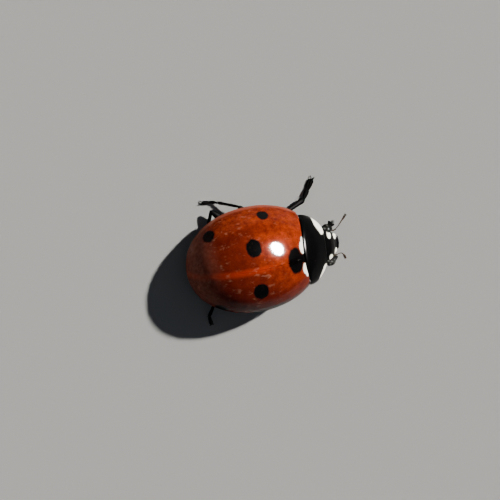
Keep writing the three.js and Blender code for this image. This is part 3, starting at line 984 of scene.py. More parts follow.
def case_grid(side):
    """The grid of one wing case, from the seam over the dome and in under the rim."""
    v = crowded(110, 0.016, 0.010)
    turn, rim_left, rim_forward, outward = rim_line(v)
    left, forward, up, thinner = dome_part(v, rim_left, rim_forward, outward)
    band = np.minimum(np.interp(turn, *zip(*BAND_WIDTHS)), 0.9 * rim_left + 0.02)
    folds = list(LIP_TURNS)
    folds += [(-share * band, BAND_DROP + BAND_LIFT * share**2) for share in BAND_SHARES]
    for out, drop in folds:
        left = np.column_stack([left, rim_left + out * outward[:, 0]])
        forward = np.column_stack([forward, rim_forward + out * outward[:, 1]])
        up = np.column_stack([up, np.full(len(v), RIM_UP + drop)])
    left = np.maximum(left, SEAM_GAP)
    thinner = np.pad(thinner, [(0, 0), (0, len(folds))])
    return np.stack([side * left, forward, up], -1), thinner


for side_name, side in SIDES.items():
    grid, thinner = case_grid(side)
    case = plate(f"wing_case_{side_name}", grid, CASE_SKIN, wing_case, thinner)
    fitted(case, "wing_case", f"elytron_{side_name}")

# %% [markdown]
# ## The scutellum
# Where the wing cases' front corners are cut away beside the seam, a small black three-cornered
# shield shows between them. It lies a little lower than they do.

# %% Scutellum
SHIELD_SKIN = 0.10
SHIELD_INSET = 0.12

across, along = np.meshgrid(crowded(14, 0.06, 0.06) * 2 - 1, crowded(16, 0.05, 0.05))
shield_forward = BASE_FORWARD - 0.01 - (SHIELD_LENGTH - 0.03) * along
shield_left = (SHIELD_HALF_WIDTH - 0.012) * across * (1 - along) ** 0.92
shield_up = dome_up(shield_left, shield_forward, SHIELD_INSET) - 0.01 * across**2
shield_grid = np.stack([shield_left, shield_forward, shield_up], -1)
fitted(plate("shield", shield_grid, SHIELD_SKIN, shield_finish), "pronotum", "scutellum")

# %% [markdown]
# ## The pronotum
# The plate in front of the wing cases is a broad saddle. Its hind edge follows their base, its sides
# draw in forwards, and its front edge is hollowed for the head, with a corner beside each eye. The
# side edges are thickened. The same plate helper makes it from a grid that runs from side to side.

# %% Pronotum
PLATE_REAR_HALF_WIDTH = 1.84
PLATE_FRONT_HALF_WIDTH = 1.04
PLATE_FRONT_FORWARD = 3.62
PLATE_CORNER_LEAD = 0.03
PLATE_CORNER_ROUND = 0.10
PLATE_CORNER_START, PLATE_CORNER_LENGTH = 0.82, 0.18  # shares of the way forward
PLATE_REAR_CREST = RIM_UP + 2.06
PLATE_FRONT_CREST = RIM_UP + 1.0
PLATE_REAR_EDGE = RIM_UP + 0.42
PLATE_FRONT_EDGE = RIM_UP + 0.36
PLATE_SKIN = 0.12
PLATE_SIDE_BEAD = 0.018
PLATE_MARGIN = 0.02
CREST_STRAIGHT, CREST_BENT = 0.72, 0.28  # how much of the crest's fall is even, and how much grows
ARCH_FLATNESS = 0.9
TUCK_DEPTH, TUCK_LENGTH = 0.05, 0.12  # the hind edge dips towards the wing cases


def pronotum_grid(inset):
    """The saddle's grid, sheared sideways as the head turns, and each point's share from side to side."""
    across, along = np.meshgrid(crowded(60, 0.03, 0.03) * 2 - 1, crowded(40, 0.05, 0.05))
    turn = across * math.pi / 2
    corner = PLATE_CORNER_ROUND * np.clip((along - PLATE_CORNER_START) / PLATE_CORNER_LENGTH, 0, 1) ** 2
    half_width = mix(PLATE_REAR_HALF_WIDTH, PLATE_FRONT_HALF_WIDTH, along**2) - inset - corner
    left = half_width * np.sin(turn) - math.tan(HEAD_TURN) * (PLATE_FRONT_FORWARD - HINGE_FORWARD) * along
    fall = CREST_STRAIGHT * along + CREST_BENT * along**2
    crest = mix(PLATE_REAR_CREST, PLATE_FRONT_CREST, fall) - inset
    edge = mix(PLATE_REAR_EDGE, PLATE_FRONT_EDGE, along) - inset
    lead = np.minimum(PLATE_CORNER_LEAD * (left / PLATE_FRONT_HALF_WIDTH) ** 2, 0.2)
    start = base_forward(left) + PLATE_MARGIN
    front = PLATE_FRONT_FORWARD - PLATE_MARGIN + lead + math.tan(HEAD_TURN) * left
    up = mix(edge, crest, np.cos(turn) ** ARCH_FLATNESS)
    up -= TUCK_DEPTH * np.clip((TUCK_LENGTH - along) / TUCK_LENGTH, 0, 1) ** 2 * np.cos(turn)
    return np.stack([left, mix(start, front, along), up], -1), across


grid, across = pronotum_grid(PLATE_SKIN / 2)
side_bead = PLATE_SIDE_BEAD * np.exp(-(((1 - np.abs(across)) / 0.05) ** 2))
fitted(plate("pronotum_plate", grid, PLATE_SKIN, pronotum_finish, side_bead), "pronotum", "pronotum")

# %% [markdown]
# ## The head
# The head is a short, broad capsule that hangs nose down from under the pronotum. It is widest at the
# eyes and narrows in front to the clypeus, a flat flap over the mouth. Rings along its sloping axis
# give that shape directly: each has a half width and its own rise above and drop below the axis.

# %% Rings along a straight axis in the midplane
def capsule_rings(rear, front, stations, count, sides=56, square=0.9):
    """rear and front are (forward, up). stations are rows of share, half width, rise and drop."""
    stations = np.asarray(stations, float)
    t = np.linspace(0, 1, count)
    wide, rise, drop = (smooth_profile(stations[:, [0, k]], t) for k in (1, 2, 3))
    rear, front = np.asarray(rear, float), np.asarray(front, float)
    way = unit(front - rear)
    lift = np.array([-way[1], way[0]])
    turn = np.linspace(0, 2 * math.pi, sides, endpoint=False)
    sideways, upright = powered(np.cos(turn), square), powered(np.sin(turn), square)
    reach = np.where(upright > 0, rise[:, None] * upright, drop[:, None] * upright)
    middle = rear + t[:, None] * (front - rear)
    left = wide[:, None] * sideways
    forward = middle[:, 0, None] + reach * lift[0]
    up = middle[:, 1, None] + reach * lift[1]
    return np.stack([left, forward, up], -1), t


print("capsule rings are ready")

# %% Head
HEAD_REAR = (3.10, 1.52)
HEAD_FRONT = (4.40, 0.86)
HEAD_STATIONS = [
    (0.00, 0.55, 0.34, 0.26), (0.14, 0.76, 0.42, 0.34), (0.35, 0.82, 0.45, 0.36), (0.55, 0.80, 0.43, 0.33),
    (0.70, 0.69, 0.34, 0.27), (0.80, 0.58, 0.24, 0.20), (0.88, 0.53, 0.15, 0.14), (0.97, 0.46, 0.07, 0.08),
    (1.00, 0.42, 0.03, 0.04),
]
CLYPEUS_SHARE, CLYPEUS_LINE_WIDTH, CLYPEUS_LINE_DEPTH = 0.80, 0.012, 0.016

rings, t = capsule_rings(HEAD_REAR, HEAD_FRONT, HEAD_STATIONS, 90)
clypeus_line = np.exp(-(((t - CLYPEUS_SHARE) / CLYPEUS_LINE_WIDTH) ** 2))[:, None]
axis_up = np.interp(t, [0, 1], [HEAD_REAR[1], HEAD_FRONT[1]])[:, None]
rings[..., 2] -= CLYPEUS_LINE_DEPTH * clypeus_line * np.clip((rings[..., 2] - axis_up) / 0.1, 0, 1)
fitted(ringed("head_capsule", turned(rings), head_finish), "head", "head")

# %% [markdown]
# ## The eyes
# A beetle's eye is a honeycomb of lenses, each about 0.02 mm across. Geometry Nodes make it by rule:
# the dual of an icosphere is a ball of near-equal hexagons, and each face is raised a little with a
# smaller top, which reads as a lens. The tree has its size and the lens height as named inputs. A
# short function runs a tree on a mesh and keeps the result as a plain mesh.

# %% Running a Geometry Nodes tree
def node_tree(name, inputs):
    """A Geometry Nodes tree with named inputs, its input sockets and its output socket."""
    geometry_in = [("Geometry", GEOMETRY, None)]
    tree, given, result = new_group(name, "GeometryNodeTree", geometry_in + inputs, [("Geometry", GEOMETRY)])
    return tree, given, result[0]


def grown(name, tree, base_mesh, values):
    """Runs a tree on a mesh and returns what it makes as a plain mesh object."""
    carrier = added(name + "_carrier", base_mesh)
    modifier = carrier.modifiers.new("grow", "NODES")
    modifier.node_group = tree
    for item in tree.interface.items_tree:
        if item.item_type == "SOCKET" and item.in_out == "INPUT" and item.name in values:
            modifier[item.identifier] = values[item.name]
    evaluated = carrier.evaluated_get(bpy.context.evaluated_depsgraph_get())
    mesh = bpy.data.meshes.new_from_object(evaluated)
    mesh.name = name
    mesh.materials.clear()
    mesh.materials.append(values["Finish"])
    bpy.data.objects.remove(carrier)
    return added(name, mesh)


print("trees can be run")

# %% The honeycomb tree
honeycomb, given, result = node_tree("honeycomb_eye", [
    ("Radii", VECTOR, (0.0002, 0.0003, 0.0003)), ("Centre", VECTOR, None),
    ("Lens height", FLOAT, 0.000004), ("Lens top", FLOAT, 0.6), ("Finish", MATERIAL, None),
])
ball = add_node(honeycomb, "GeometryNodeMeshIcoSphere", {"Radius": 1.0, "Subdivisions": 5})
cells = add_node(honeycomb, "GeometryNodeDualMesh", {"Mesh": ball.outputs[0]})
sized = add_node(honeycomb, "GeometryNodeTransform", {
    "Geometry": cells.outputs[0], "Scale": given["Radii"], "Translation": given["Centre"]})
raised = add_node(honeycomb, "GeometryNodeExtrudeMesh", {
    "Mesh": sized.outputs[0], "Offset Scale": given["Lens height"]}, mode="FACES")
topped = add_node(honeycomb, "GeometryNodeScaleElements", {
    "Geometry": raised.outputs[0], "Selection": raised.outputs[1], "Scale": given["Lens top"]})
solid = add_node(honeycomb, "GeometryNodeRealizeInstances", {0: topped.outputs[0]})
dressed = add_node(honeycomb, "GeometryNodeSetMaterial", {
    "Geometry": solid.outputs[0], "Material": given["Finish"]})
honeycomb.links.new(dressed.outputs[0], result)
print("honeycomb tree:", len(honeycomb.nodes), "nodes")

# %% Eyes
EYE_CENTRE = (0.86, 3.91, 1.17)
EYE_RADII = (0.225, 0.285, 0.31)
LENS_HEIGHT = 0.0045
LENS_TOP = 0.62

seed_mesh = bpy.data.meshes.new("seed")
for side_name, side in SIDES.items():
    centre = scene_point(*turned([side * EYE_CENTRE[0], *EYE_CENTRE[1:]]))
    eye = grown(f"honeycomb_{side_name}", honeycomb, seed_mesh, {
        "Radii": [r * MM for r in EYE_RADII], "Centre": list(centre), "Lens height": LENS_HEIGHT * MM,
        "Lens top": LENS_TOP, "Finish": eye_finish})
    fitted(eye, "eye", f"eye_{side_name}")

# %% [markdown]
# ## Mouthparts
# Under the clypeus sit the labrum, a small lip, and a pair of jaws that close sideways. Outside them
# the palps feel the food. Their last joint is shaped like an axe head, which is how ladybirds are
# told from other small round beetles. Lip and jaws are single swept forms; a palp is four joints.

# %% Lip and jaws
LIP_PATH = [(-0.36, 4.40, 0.80), (-0.18, 4.45, 0.80), (0.0, 4.465, 0.80), (0.18, 4.45, 0.80),
            (0.36, 4.40, 0.80)]
LIP_PROFILE = [(0, 0.03), (0.06, 0.075), (0.3, 0.095), (0.7, 0.095), (0.94, 0.075), (1, 0.03)]
JAW_PATH = [(0.40, 4.02, 0.70), (0.41, 4.20, 0.66), (0.28, 4.35, 0.64), (0.05, 4.41, 0.63)]
JAW_PROFILE = [(0, 0.10), (0.3, 0.11), (0.6, 0.085), (0.85, 0.05), (1, 0.012)]

fitted(bar("lip", turned(LIP_PATH), LIP_PROFILE, head_finish, 40, 20, 0.55), "head", "labrum")


def jaw(side_name, side):
    """The jaw of one side, curved in towards the midline."""
    path = turned([(side * left, forward, up) for left, forward, up in JAW_PATH])
    return bar(f"jaw_{side_name}", path, JAW_PROFILE, foot_finish, 30, 18, 0.75)


# %% Palps
PALP_ROOT, PALP_TIP = (0.44, 3.92, 0.66), (1.02, 4.34, 0.56)
PALP_SHARES = (0, 0.16, 0.48, 0.64)
PALP_BEND = [0, 0, 0.03]
PALP_JOINT_RADII = (0.035, 0.045, 0.045)
PALP_JOINT = [(0, 0.6), (0.3, 0.9), (0.8, 1.15), (1, 0.7)]  # share and radius, of the joint's own
AXE_SHARES = (-0.01, 0.09, 0.20)
AXE_PROFILE = [(0, 0.05), (0.2, 0.10), (0.70, 0.185), (0.93, 0.19), (1, 0.15)]


def palp(side_name, side):
    """The palp of one side: three plain joints and the axe-shaped one."""
    root, tip = (turned([side * place[0], *place[1:]]) for place in (PALP_ROOT, PALP_TIP))
    knuckles = [mix(root, tip, share) for share in PALP_SHARES]
    knuckles[2] = knuckles[2] + PALP_BEND
    joints = []
    for k, wide in enumerate(PALP_JOINT_RADII):
        halfway = mix(knuckles[k], knuckles[k + 1], 0.5)
        profile = [(share, radius * wide) for share, radius in PALP_JOINT]
        joints.append(bar("joint", [knuckles[k], halfway, knuckles[k + 1]], profile, foot_finish, 12, 14))
    axe_way = np.array([side * 0.9, 0.8, -0.2])
    axe_path = [knuckles[3] + share * axe_way for share in AXE_SHARES]
    joints.append(bar("axe", axe_path, AXE_PROFILE, foot_finish, 20, 24, 0.40))
    return joined(f"axe_palp_{side_name}", joints)


# %% Jaws and palps on both sides
for side_name, side in SIDES.items():
    fitted(jaw(side_name, side), "head", f"mandible_{side_name}")
    fitted(palp(side_name, side), "feeler", f"palp_{side_name}")

# %% [markdown]
# ## The antennae
# A ladybird's antenna is short: eleven beads, thin in the middle, the last three swollen into a club.
# One swept tube draws them all if its radius pinches at every joint, so the beads are rows in a table
# of length and radius.

# %% Antennae
BEADS = [(0.17, 0.050), (0.08, 0.040), (0.13, 0.029), (0.085, 0.028), (0.08, 0.029), (0.07, 0.030),
         (0.065, 0.033), (0.06, 0.038), (0.085, 0.056), (0.085, 0.066), (0.10, 0.062)]
BEAD_SHAPE = [(0.02, 0.45), (0.12, 0.62), (0.45, 0.86), (0.78, 1.0), (0.93, 0.86), (0.99, 0.45)]
ANTENNA_PATHS = {
    "left": [(0.60, 4.16, 0.98), (0.58, 4.36, 0.98), (0.70, 4.60, 0.88), (0.92, 4.90, 0.70),
             (1.14, 5.20, 0.52)],
    "right": [(-0.72, 4.06, 0.98), (-0.72, 4.28, 0.96), (-0.74, 4.58, 0.78), (-0.92, 4.74, 0.60),
              (-1.13, 4.82, 0.47)],
}


def bead_profile(beads):
    """Share along the antenna and radius there, pinched between beads."""
    total = sum(length for length, _ in beads)
    rows, start = [], 0.0
    for length, radius in beads:
        rows += [((start + share * length) / total, fat * radius) for share, fat in BEAD_SHAPE]
        start += length
    return [(0.0, rows[0][1])] + rows + [(1.0, 0.2 * beads[-1][1])]


for side_name, path in ANTENNA_PATHS.items():
    antenna = bar(f"antenna_{side_name}", path, bead_profile(BEADS), feeler_finish, 180, 18)
    fitted(antenna, "feeler", f"antenna_stalk_{side_name}", f"antenna_club_{side_name}")

# %% [markdown]
# ## The underside
# Below, the body is closed by hard plates. The prothorax carries the front legs. Behind it the thorax
# carries the other two pairs, and the belly shows six overlapping rings. The plates fill the space
# inside the folded bands of the wing cases. Rings across the body, stacked from front to back, give
# each of the three its outline; steps and grooves come from moving the rings' points.

# %% Rings across the body
def body_rings(stations, count, sides=72, square=0.82):
    """stations are rows of forward, half width, top, side height and bottom, in order."""
    stations = np.asarray(stations, float)
    forward = np.linspace(stations[0, 0], stations[-1, 0], count)
    sign = 1 if stations[-1, 0] > stations[0, 0] else -1
    columns = [smooth_profile(np.stack([sign * stations[:, 0], stations[:, k]], 1), sign * forward)
               for k in range(1, 5)]
    wide, top, flank, bottom = (c[:, None] for c in columns)
    turn = np.linspace(0, 2 * math.pi, sides, endpoint=False)
    sideways, upright = powered(np.cos(turn), square), powered(np.sin(turn), square)
    up = flank + np.where(upright > 0, (top - flank) * upright, (flank - bottom) * upright)
    left = wide * sideways
    return np.stack([left, np.broadcast_to(forward[:, None], left.shape).copy(), up], -1)


def line(distance, width):
    """A soft ridge or groove: 1 on the line and 0 away from it."""
    return np.exp(-((distance / width) ** 2))


print("body rings are ready")

# %% [markdown]
# ### Prothorax
# The prothorax hangs under the pronotum. A blunt keel runs between the front hips.

# %% Prothorax
PROTHORAX_STATIONS = [
    (2.26, 0.90, 1.90, 1.20, 0.98), (2.34, 1.45, 2.05, 1.22, 0.86), (2.60, 1.62, 1.90, 1.20, 0.74),
    (2.95, 1.45, 1.80, 1.20, 0.70), (3.25, 1.10, 1.72, 1.20, 0.76), (3.42, 0.80, 1.60, 1.22, 0.90),
    (3.48, 0.50, 1.50, 1.25, 1.05),
]
KEEL_DEPTH, KEEL_WIDTH = 0.07, 0.13
KEEL_FORWARD, KEEL_LENGTH = 2.75, 0.35
KEEL_TOP = 1.1

rings = body_rings(PROTHORAX_STATIONS, 70)
keel = line(rings[..., 0], KEEL_WIDTH) * (rings[..., 2] < KEEL_TOP)
rings[..., 2] -= KEEL_DEPTH * keel * line(rings[..., 1] - KEEL_FORWARD, KEEL_LENGTH)
prothorax = fitted(ringed("fore_breast", rings, underside_finish), "underside", "prothorax")

# %% [markdown]
# ### Thorax
# The thorax is made of several plates, and fine grooves show where they meet: one across, one along
# the middle, one up each side and a short slanting one in front.

# %% Thorax
THORAX_STATIONS = [
    (-0.02, 2.05, 2.75, 0.92, 0.52), (0.10, 2.16, 2.85, 0.92, 0.48), (0.70, 2.14, 2.85, 0.92, 0.45),
    (1.30, 2.02, 2.70, 0.93, 0.47), (1.80, 1.84, 2.50, 0.96, 0.54), (2.15, 1.62, 2.20, 1.02, 0.64),
    (2.28, 1.35, 2.00, 1.05, 0.76), (2.32, 1.00, 1.85, 1.08, 0.88),
]
GROOVE_DEPTH, GROOVE_WIDTH, MIDDLE_GROOVE_WIDTH = 0.035, 0.02, 0.018
FLANK_UP = 0.95  # grooves and steps fade out towards this height

rings = body_rings(THORAX_STATIONS, 150, 120)
left, forward, up = (rings[..., k] for k in range(3))
below = np.clip((FLANK_UP - up) / 0.2, 0, 1)
grooves = line(forward - 1.42 - 0.05 * left**2, GROOVE_WIDTH)
grooves += line(left, MIDDLE_GROOVE_WIDTH) * (forward < 1.35)
grooves += line(np.abs(left) - 1.50 - 0.10 * (forward - 0.8), GROOVE_WIDTH) * (forward < 1.42)
grooves += line(forward - 1.95 + 0.18 * (np.abs(left) - 1.2), GROOVE_WIDTH) * (np.abs(left) > 0.9)
rings[..., 2] = up + GROOVE_DEPTH * np.clip(grooves, 0, 1) * below
thorax = fitted(ringed("breast_plates", rings, underside_finish), "underside", "thorax")

# %% [markdown]
# ### Belly
# Each ring of the belly tucks under the one in front of it. So the surface steps in behind every
# ring's edge and swells out again before the next, and the edges bow forwards at the sides.

# %% Belly
BELLY_STATIONS = [
    (0.00, 2.10, 2.70, 0.92, 0.50), (-0.10, 2.18, 2.80, 0.92, 0.48), (-0.80, 2.16, 2.75, 0.91, 0.47),
    (-1.50, 1.98, 2.60, 0.90, 0.50), (-2.20, 1.62, 2.30, 0.90, 0.55), (-2.75, 1.20, 1.90, 0.89, 0.62),
    (-3.10, 0.76, 1.45, 0.88, 0.70), (-3.26, 0.40, 1.15, 0.88, 0.78), (-3.31, 0.12, 0.95, 0.88, 0.84),
]
RING_EDGES = [-0.72, -1.28, -1.76, -2.20, -2.60, -2.95]
STEP_DEPTH, STEP_LENGTH, STEP_EDGE = 0.034, 0.16, 0.012
EDGE_BOW = 0.09

rings = body_rings(BELLY_STATIONS, 190, 120)
left, forward, up = (rings[..., k] for k in range(3))
below = np.clip((FLANK_UP - up) / 0.15, 0, 1)
step = np.zeros_like(up)
for edge in RING_EDGES:
    past = edge - (forward - EDGE_BOW * left**2)
    tucked = np.where(past > 0, STEP_DEPTH * np.exp(-past / STEP_LENGTH), 0)
    step += tucked * np.clip(past / STEP_EDGE, 0, 1)
rings[..., 2] = up + step * below
belly = fitted(ringed("belly_rings", rings, underside_finish), "underside", "abdomen")

# %% [markdown]
# ## The legs
# Each leg has a rounded hip, a flattened thigh that tucks under the body, a slimmer shin with two
# spurs, and a foot. One table gives the joints of all six legs, and one function builds a leg from its
# row, so every leg has the same parts in its own pose. A leg looks stouter or finer as it turns its
# broad or its narrow side up, and a second table says how much.

# %% Joints and sizes of the legs
LEGS = {  # hip, knee, ankle and toe
    "front_left": [(0.5, 2.74, 0.52), (1.90, 2.00, 0.62), (2.30, 3.23, 0.22), (3.26, 3.85, 0.08)],
    "middle_left": [(1.0, 1.15, 0.52), (2.74, -0.20, 0.60), (3.10, -1.20, 0.24), (3.22, -1.99, 0.08)],
    "hind_left": [(1.05, 0.0, 0.52), (2.80, -1.65, 0.50), (1.72, -1.96, 0.22), (1.20, -2.46, 0.08)],
    "front_right": [(-0.5, 2.74, 0.52), (-1.5, 2.12, 0.60), (-1.72, 2.80, 0.22), (-1.58, 3.36, 0.08)],
    "middle_right": [(-1.0, 1.15, 0.52), (-2.3, 1.50, 0.60), (-2.62, 0.72, 0.22), (-2.66, 0.08, 0.08)],
    "hind_right": [(-0.95, 0.05, 0.52), (-1.5, -2.05, 0.62), (-2.66, -2.64, 0.22), (-3.14, -2.56, 0.08)],
}
STOUTNESS = {"front_left": 1.16, "middle_left": 0.72, "hind_left": 0.95, "front_right": 1.0,
             "middle_right": 1.0, "hind_right": 0.72}
HIP = [(0, 0.12), (0.3, 0.20), (0.75, 0.20), (0.95, 0.13), (1, 0.06)]
THIGH = [(0, 0.11), (0.12, 0.17), (0.40, 0.215), (0.70, 0.20), (0.90, 0.15), (1, 0.09)]
SHIN = [(0, 0.060), (0.08, 0.080), (0.35, 0.095), (0.70, 0.108), (0.93, 0.115), (1, 0.080)]
SPUR = [(0, 0.012), (0.5, 0.010), (1, 0.002)]
print("legs:", len(LEGS))

# %% [markdown]
# ### Feet
# The foot looks three-jointed: a wedge, a broad two-lobed pad with a hairy sole, and a thin last joint
# that carries two hooked claws. Its points are given as a share of the way from ankle to toe, a
# distance aside and a height over the floor, so one set of points fits every foot.

# %% A foot
WEDGE = [(0, 0.050), (0.25, 0.085), (0.8, 0.112), (0.95, 0.10), (1, 0.06)]
WEDGE_PATH = [(0.20, 0, 0.15), (0.46, 0, 0.10)]
LOBE = [(0, 0.045), (0.3, 0.072), (0.75, 0.080), (0.93, 0.068), (1, 0.03)]
LOBE_PATH = [(0.38, 0.02, 0.10), (0.58, 0.05, 0.075), (0.93, 0.065, 0.062)]
LAST_JOINT = [(0, 0.022), (0.3, 0.032), (0.8, 0.050), (0.96, 0.046), (1, 0.02)]
LAST_JOINT_PATH = [(0.60, 0, 0.125), (0.80, 0, 0.130), (0.98, 0, 0.10)]
CLAW = [(0, 0.030), (0.4, 0.026), (0.8, 0.016), (1, 0.004)]
CLAW_PATH = [(0.93, 0.02, 0.105), (1.00, 0.065, 0.105), (1.07, 0.100, 0.065), (1.09, 0.110, 0.010)]


def scaled(profile, stout):
    return [(share, stout * radius) for share, radius in profile]


def foot(name, ankle, toe, stout):
    """Wedge, two-lobed pad, last joint and claws, from the ankle to the claw tips."""
    level = unit((toe - ankle) * [1, 1, 0])
    aside = np.array([-level[1], level[0], 0.0])
    length = np.linalg.norm((toe - ankle)[:2])

    def along_foot(path, way_out=0):
        """Points of a path, on one side of the foot or, where way_out is 0, on its middle."""
        start = np.array([*ankle[:2], 0.0])
        return [start + share * length * level + way_out * out * aside + [0, 0, up]
                for share, out, up in path]

    parts = [bar("wedge", [ankle] + along_foot(WEDGE_PATH), scaled(WEDGE, stout), foot_finish, 22, 20, 0.62)]
    for way_out in (-stout, stout):
        parts.append(bar("lobe", along_foot(LOBE_PATH, way_out), scaled(LOBE, stout), foot_finish, 22, 20,
                         0.66))
    parts.append(bar("last", along_foot(LAST_JOINT_PATH), LAST_JOINT, foot_finish, 24, 16))
    for way_out in (-1, 1):
        parts.append(bar("claw", along_foot(CLAW_PATH, way_out), CLAW, foot_finish, 18, 10))
    return joined(name, parts)


print("feet can be made")

# %% [markdown]
# ### Hips, thighs and shins
# The thigh bows up a little between hip and knee. The shin widens towards the foot, where its two
# spurs stick out beside the ankle.

# %% Legs
HIP_INWARD = [0.45, 1, 1]  # the hip starts nearer the midline than where the thigh leaves it
HIP_RISE = [0, 0, 0.10]
THIGH_BOW = np.array([0, 0, 0.05])
SHIN_BOW_NEAR_KNEE, SHIN_BOW_NEAR_ANKLE = [0, 0, 0.03], [0, 0, 0.02]
SPUR_LENGTH = 0.13


def spurs(ankle, shin_way):
    """The two spurs at the end of a shin."""
    across = unit(np.cross(shin_way, [0, 0, 1]))
    made = []
    for out in (-1, 1):
        base = ankle - 0.05 * shin_way + 0.05 * out * across - [0, 0, 0.04]
        middle = base + 0.07 * shin_way + 0.015 * out * across
        tip = base + SPUR_LENGTH * shin_way + 0.02 * out * across - [0, 0, 0.015]
        made.append(bar("spur", [base, middle, tip], SPUR, leg_finish, 8, 8))
    return made


for leg_name, joints in LEGS.items():
    hip, knee, ankle, toe = (np.asarray(j, float) for j in joints)
    stout = STOUTNESS[leg_name]
    inner = hip * HIP_INWARD + HIP_RISE
    hip_path = [inner, mix(inner, hip, 0.6), hip + 0.10 * unit(knee - hip)]
    cup = bar(f"{leg_name}_hip", hip_path, HIP, underside_finish, 26, 26, 0.9)
    thigh_path = [hip, mix(hip, knee, 0.35) + THIGH_BOW * 0.5, mix(hip, knee, 0.7) + THIGH_BOW, knee]
    thigh = bar(f"{leg_name}_thigh", thigh_path, THIGH, leg_finish, 44, 28, 0.72)
    shin_way = unit(ankle - knee)
    shin_path = [knee - 0.03 * shin_way, mix(knee, ankle, 0.3) + SHIN_BOW_NEAR_KNEE,
                 mix(knee, ankle, 0.7) + SHIN_BOW_NEAR_ANKLE, ankle]
    shin = bar("shin", shin_path, scaled(SHIN, stout), leg_finish, 44, 24, 0.8)
    shin = joined(f"{leg_name}_shin", [shin] + spurs(ankle, shin_way))
    tarsus = foot(f"{leg_name}_foot", ankle, toe, stout)
    fitted(cup, "underside", f"coxa_{leg_name}")
    for piece, solid in ((thigh, "femur"), (shin, "tibia"), (tarsus, "tarsus")):
        fitted(piece, "leg", f"{solid}_{leg_name}")

# %% [markdown]
# ## Bristles and down
# Shins and feet carry short stiff bristles that point towards the claws, and the underside wears
# sparser, paler down that lies towards the tail. Particle hair would not survive the export. Geometry
# Nodes scatter points over each skin, stand a thin three-sided spike on every point, lean it over, and
# turn the lot into one plain mesh. Each spike also gets a small patch of texture space, at its root's
# place on the unwrap of the skin it grows from.

# %% The down tree: points and spikes
down, given, result = node_tree("down", [
    ("Per square metre", FLOAT, 3e8), ("Length", FLOAT, 0.00008), ("Width", FLOAT, 0.000003),
    ("Lean", FLOAT, 0.6), ("Toward", VECTOR, (0, 0, -1)), ("Facing below", FLOAT, 1.0),
    ("Seed", INTEGER, 1), ("Finish", MATERIAL, None),
])


def in_down(kind, inputs=None, **settings):
    return add_node(down, kind, inputs, **settings).outputs


def stretched(vector, factor):
    return in_down("ShaderNodeVectorMath", {0: vector, "Scale": factor}, operation="SCALE")[0]


facing_up = in_down("ShaderNodeSeparateXYZ", {0: in_down("GeometryNodeInputNormal")[0]})["Z"]
chosen = in_down("FunctionNodeCompare", {0: facing_up, 1: given["Facing below"]}, operation="LESS_THAN")[0]
roots = in_down("GeometryNodeDistributePointsOnFaces", {
    "Mesh": given["Geometry"], "Selection": chosen, "Density": given["Per square metre"],
    "Seed": given["Seed"]})
spike = in_down("GeometryNodeMeshCone", {
    "Vertices": 3, "Side Segments": 2, "Radius Top": 0.0, "Radius Bottom": 1.0, "Depth": 1.0})["Mesh"]
spike = in_down("GeometryNodeStoreNamedAttribute", {
    "Geometry": spike, "Name": "spike_place", "Value": in_down("GeometryNodeInputPosition")[0]},
    data_type="FLOAT_VECTOR", domain="POINT")[0]
print("down tree so far:", len(down.nodes), "nodes")

# %% [markdown]
# A hair stands between the skin's normal and the way it should lean to, a little astray, and no two
# are equally long.

# %% The down tree: standing the spikes
STRAY = 0.2
SHORTEST, LONGEST = 0.6, 1.15

upright = stretched(roots["Normal"], maths(down, "SUBTRACT", 1.0, given["Lean"]))
leaning = vectors(down, "ADD", upright, stretched(given["Toward"], given["Lean"]))
astray = in_down("FunctionNodeRandomValue", {0: (-STRAY,) * 3, 1: (STRAY,) * 3, "Seed": given["Seed"]},
                 data_type="FLOAT_VECTOR")[0]
turned_to = in_down("FunctionNodeAlignRotationToVector", {
    "Vector": vectors(down, "ADD", leaning, astray)}, axis="Z")[0]
growth = in_down("FunctionNodeRandomValue", {2: SHORTEST, 3: LONGEST, "Seed": given["Seed"]},
                 data_type="FLOAT")[1]
tall = times(down, given["Length"], growth)
spike_size = in_down("ShaderNodeCombineXYZ", {"X": given["Width"], "Y": given["Width"], "Z": tall})[0]
planted = in_down("GeometryNodeInstanceOnPoints", {
    "Points": roots["Points"], "Instance": spike, "Rotation": turned_to, "Scale": spike_size})[0]
solid = in_down("GeometryNodeRealizeInstances", {0: planted})[0]
print("down tree so far:", len(down.nodes), "nodes")

# %% [markdown]
# The patch is about 0.003 of the texture across. A margin keeps the patches of roots that lie on the
# edge of the unwrap inside it.

# %% The down tree: texture space and finish
PATCH_RADIUS = 0.0015
PATCH_MARGIN = 0.004


def named(name):
    return in_down("GeometryNodeInputNamedAttribute", {"Name": name}, data_type="FLOAT_VECTOR")[0]


patch = stretched(named("spike_place"), PATCH_RADIUS)
root_place = in_down("ShaderNodeVectorMath", {
    0: named("skin_map"), 1: (1 - 2 * PATCH_MARGIN,) * 3, 2: (PATCH_MARGIN,) * 3},
    operation="MULTIPLY_ADD")[0]
mapped = in_down("GeometryNodeStoreNamedAttribute", {
    "Geometry": solid, "Name": "OFBake", "Value": vectors(down, "ADD", root_place, patch)},
    data_type="FLOAT2", domain="CORNER")[0]
for spare in ("skin_map", "spike_place"):
    mapped = in_down("GeometryNodeRemoveAttribute", {"Geometry": mapped, "Name": spare})[0]
dressed = in_down("GeometryNodeSetMaterial", {"Geometry": mapped, "Material": given["Finish"]})[0]
down.links.new(dressed, result)
print("down tree:", len(down.nodes), "nodes")

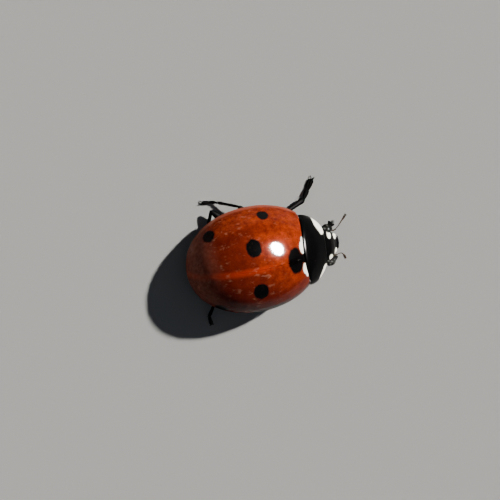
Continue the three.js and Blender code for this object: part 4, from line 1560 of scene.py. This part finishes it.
# %% [markdown]
# ### Bristles on the legs
# Tips that would end under the floor bend along it instead, which a living leg's bristles do too.

# %% Bristles
SHIN_BRISTLES = (120, 0.075)  # how many to a square millimetre, and how long
FOOT_BRISTLES = (150, 0.062)
BRISTLE_WIDTH, BRISTLE_LEAN = 0.0030, 0.72
WHOLE_SKIN = 1.1  # a limit for "Facing below" that every face passes


def hairs(name, skin, number_and_length, width, lean, toward, finish, seed, facing_below):
    """A mesh of hairs that grow on a skin and lean towards a direction in left, forward, up."""
    per_square_mm, length = number_and_length
    left, forward, up = toward
    coat = grown(name, down, skin.data, {
        "Per square metre": per_square_mm / MM**2, "Length": length * MM, "Width": width * MM,
        "Lean": lean, "Toward": [left, -forward, up], "Facing below": facing_below, "Seed": seed,
        "Finish": finish})
    for corner in coat.data.vertices:
        corner.co.z = max(corner.co.z, 0.0)
    return coat


for seed, (leg_name, (_, knee, ankle, toe)) in enumerate(LEGS.items()):
    coats = []
    for part, end, start, bristles in (("shin", ankle, knee, SHIN_BRISTLES),
                                       ("foot", toe, ankle, FOOT_BRISTLES)):
        skin = bpy.data.objects[f"{leg_name}_{part}"]
        coats.append(hairs(part, skin, bristles, BRISTLE_WIDTH, BRISTLE_LEAN, unit(np.subtract(end, start)),
                           bristle_finish, seed, WHOLE_SKIN))
    fitted(joined(f"{leg_name}_bristles", coats), "leg")

# %% [markdown]
# ### Down on the underside
# Only faces that look down wear it, so none grows where the plates tuck under the wing cases.

# %% Down
UNDERSIDE_DOWN = (55, 0.10)
DOWN_WIDTH, DOWN_LEAN = 0.0026, 0.78
TOWARDS_TAIL = (0, -1, -0.1)
LOOKING_DOWN = -0.25
FIRST_DOWN_SEED = 11

for seed, skin in enumerate((prothorax, thorax, belly), FIRST_DOWN_SEED):
    coat = hairs(f"{skin.name}_down", skin, UNDERSIDE_DOWN, DOWN_WIDTH, DOWN_LEAN, TOWARDS_TAIL,
                 down_finish, seed, LOOKING_DOWN)
    fitted(coat, "underside")
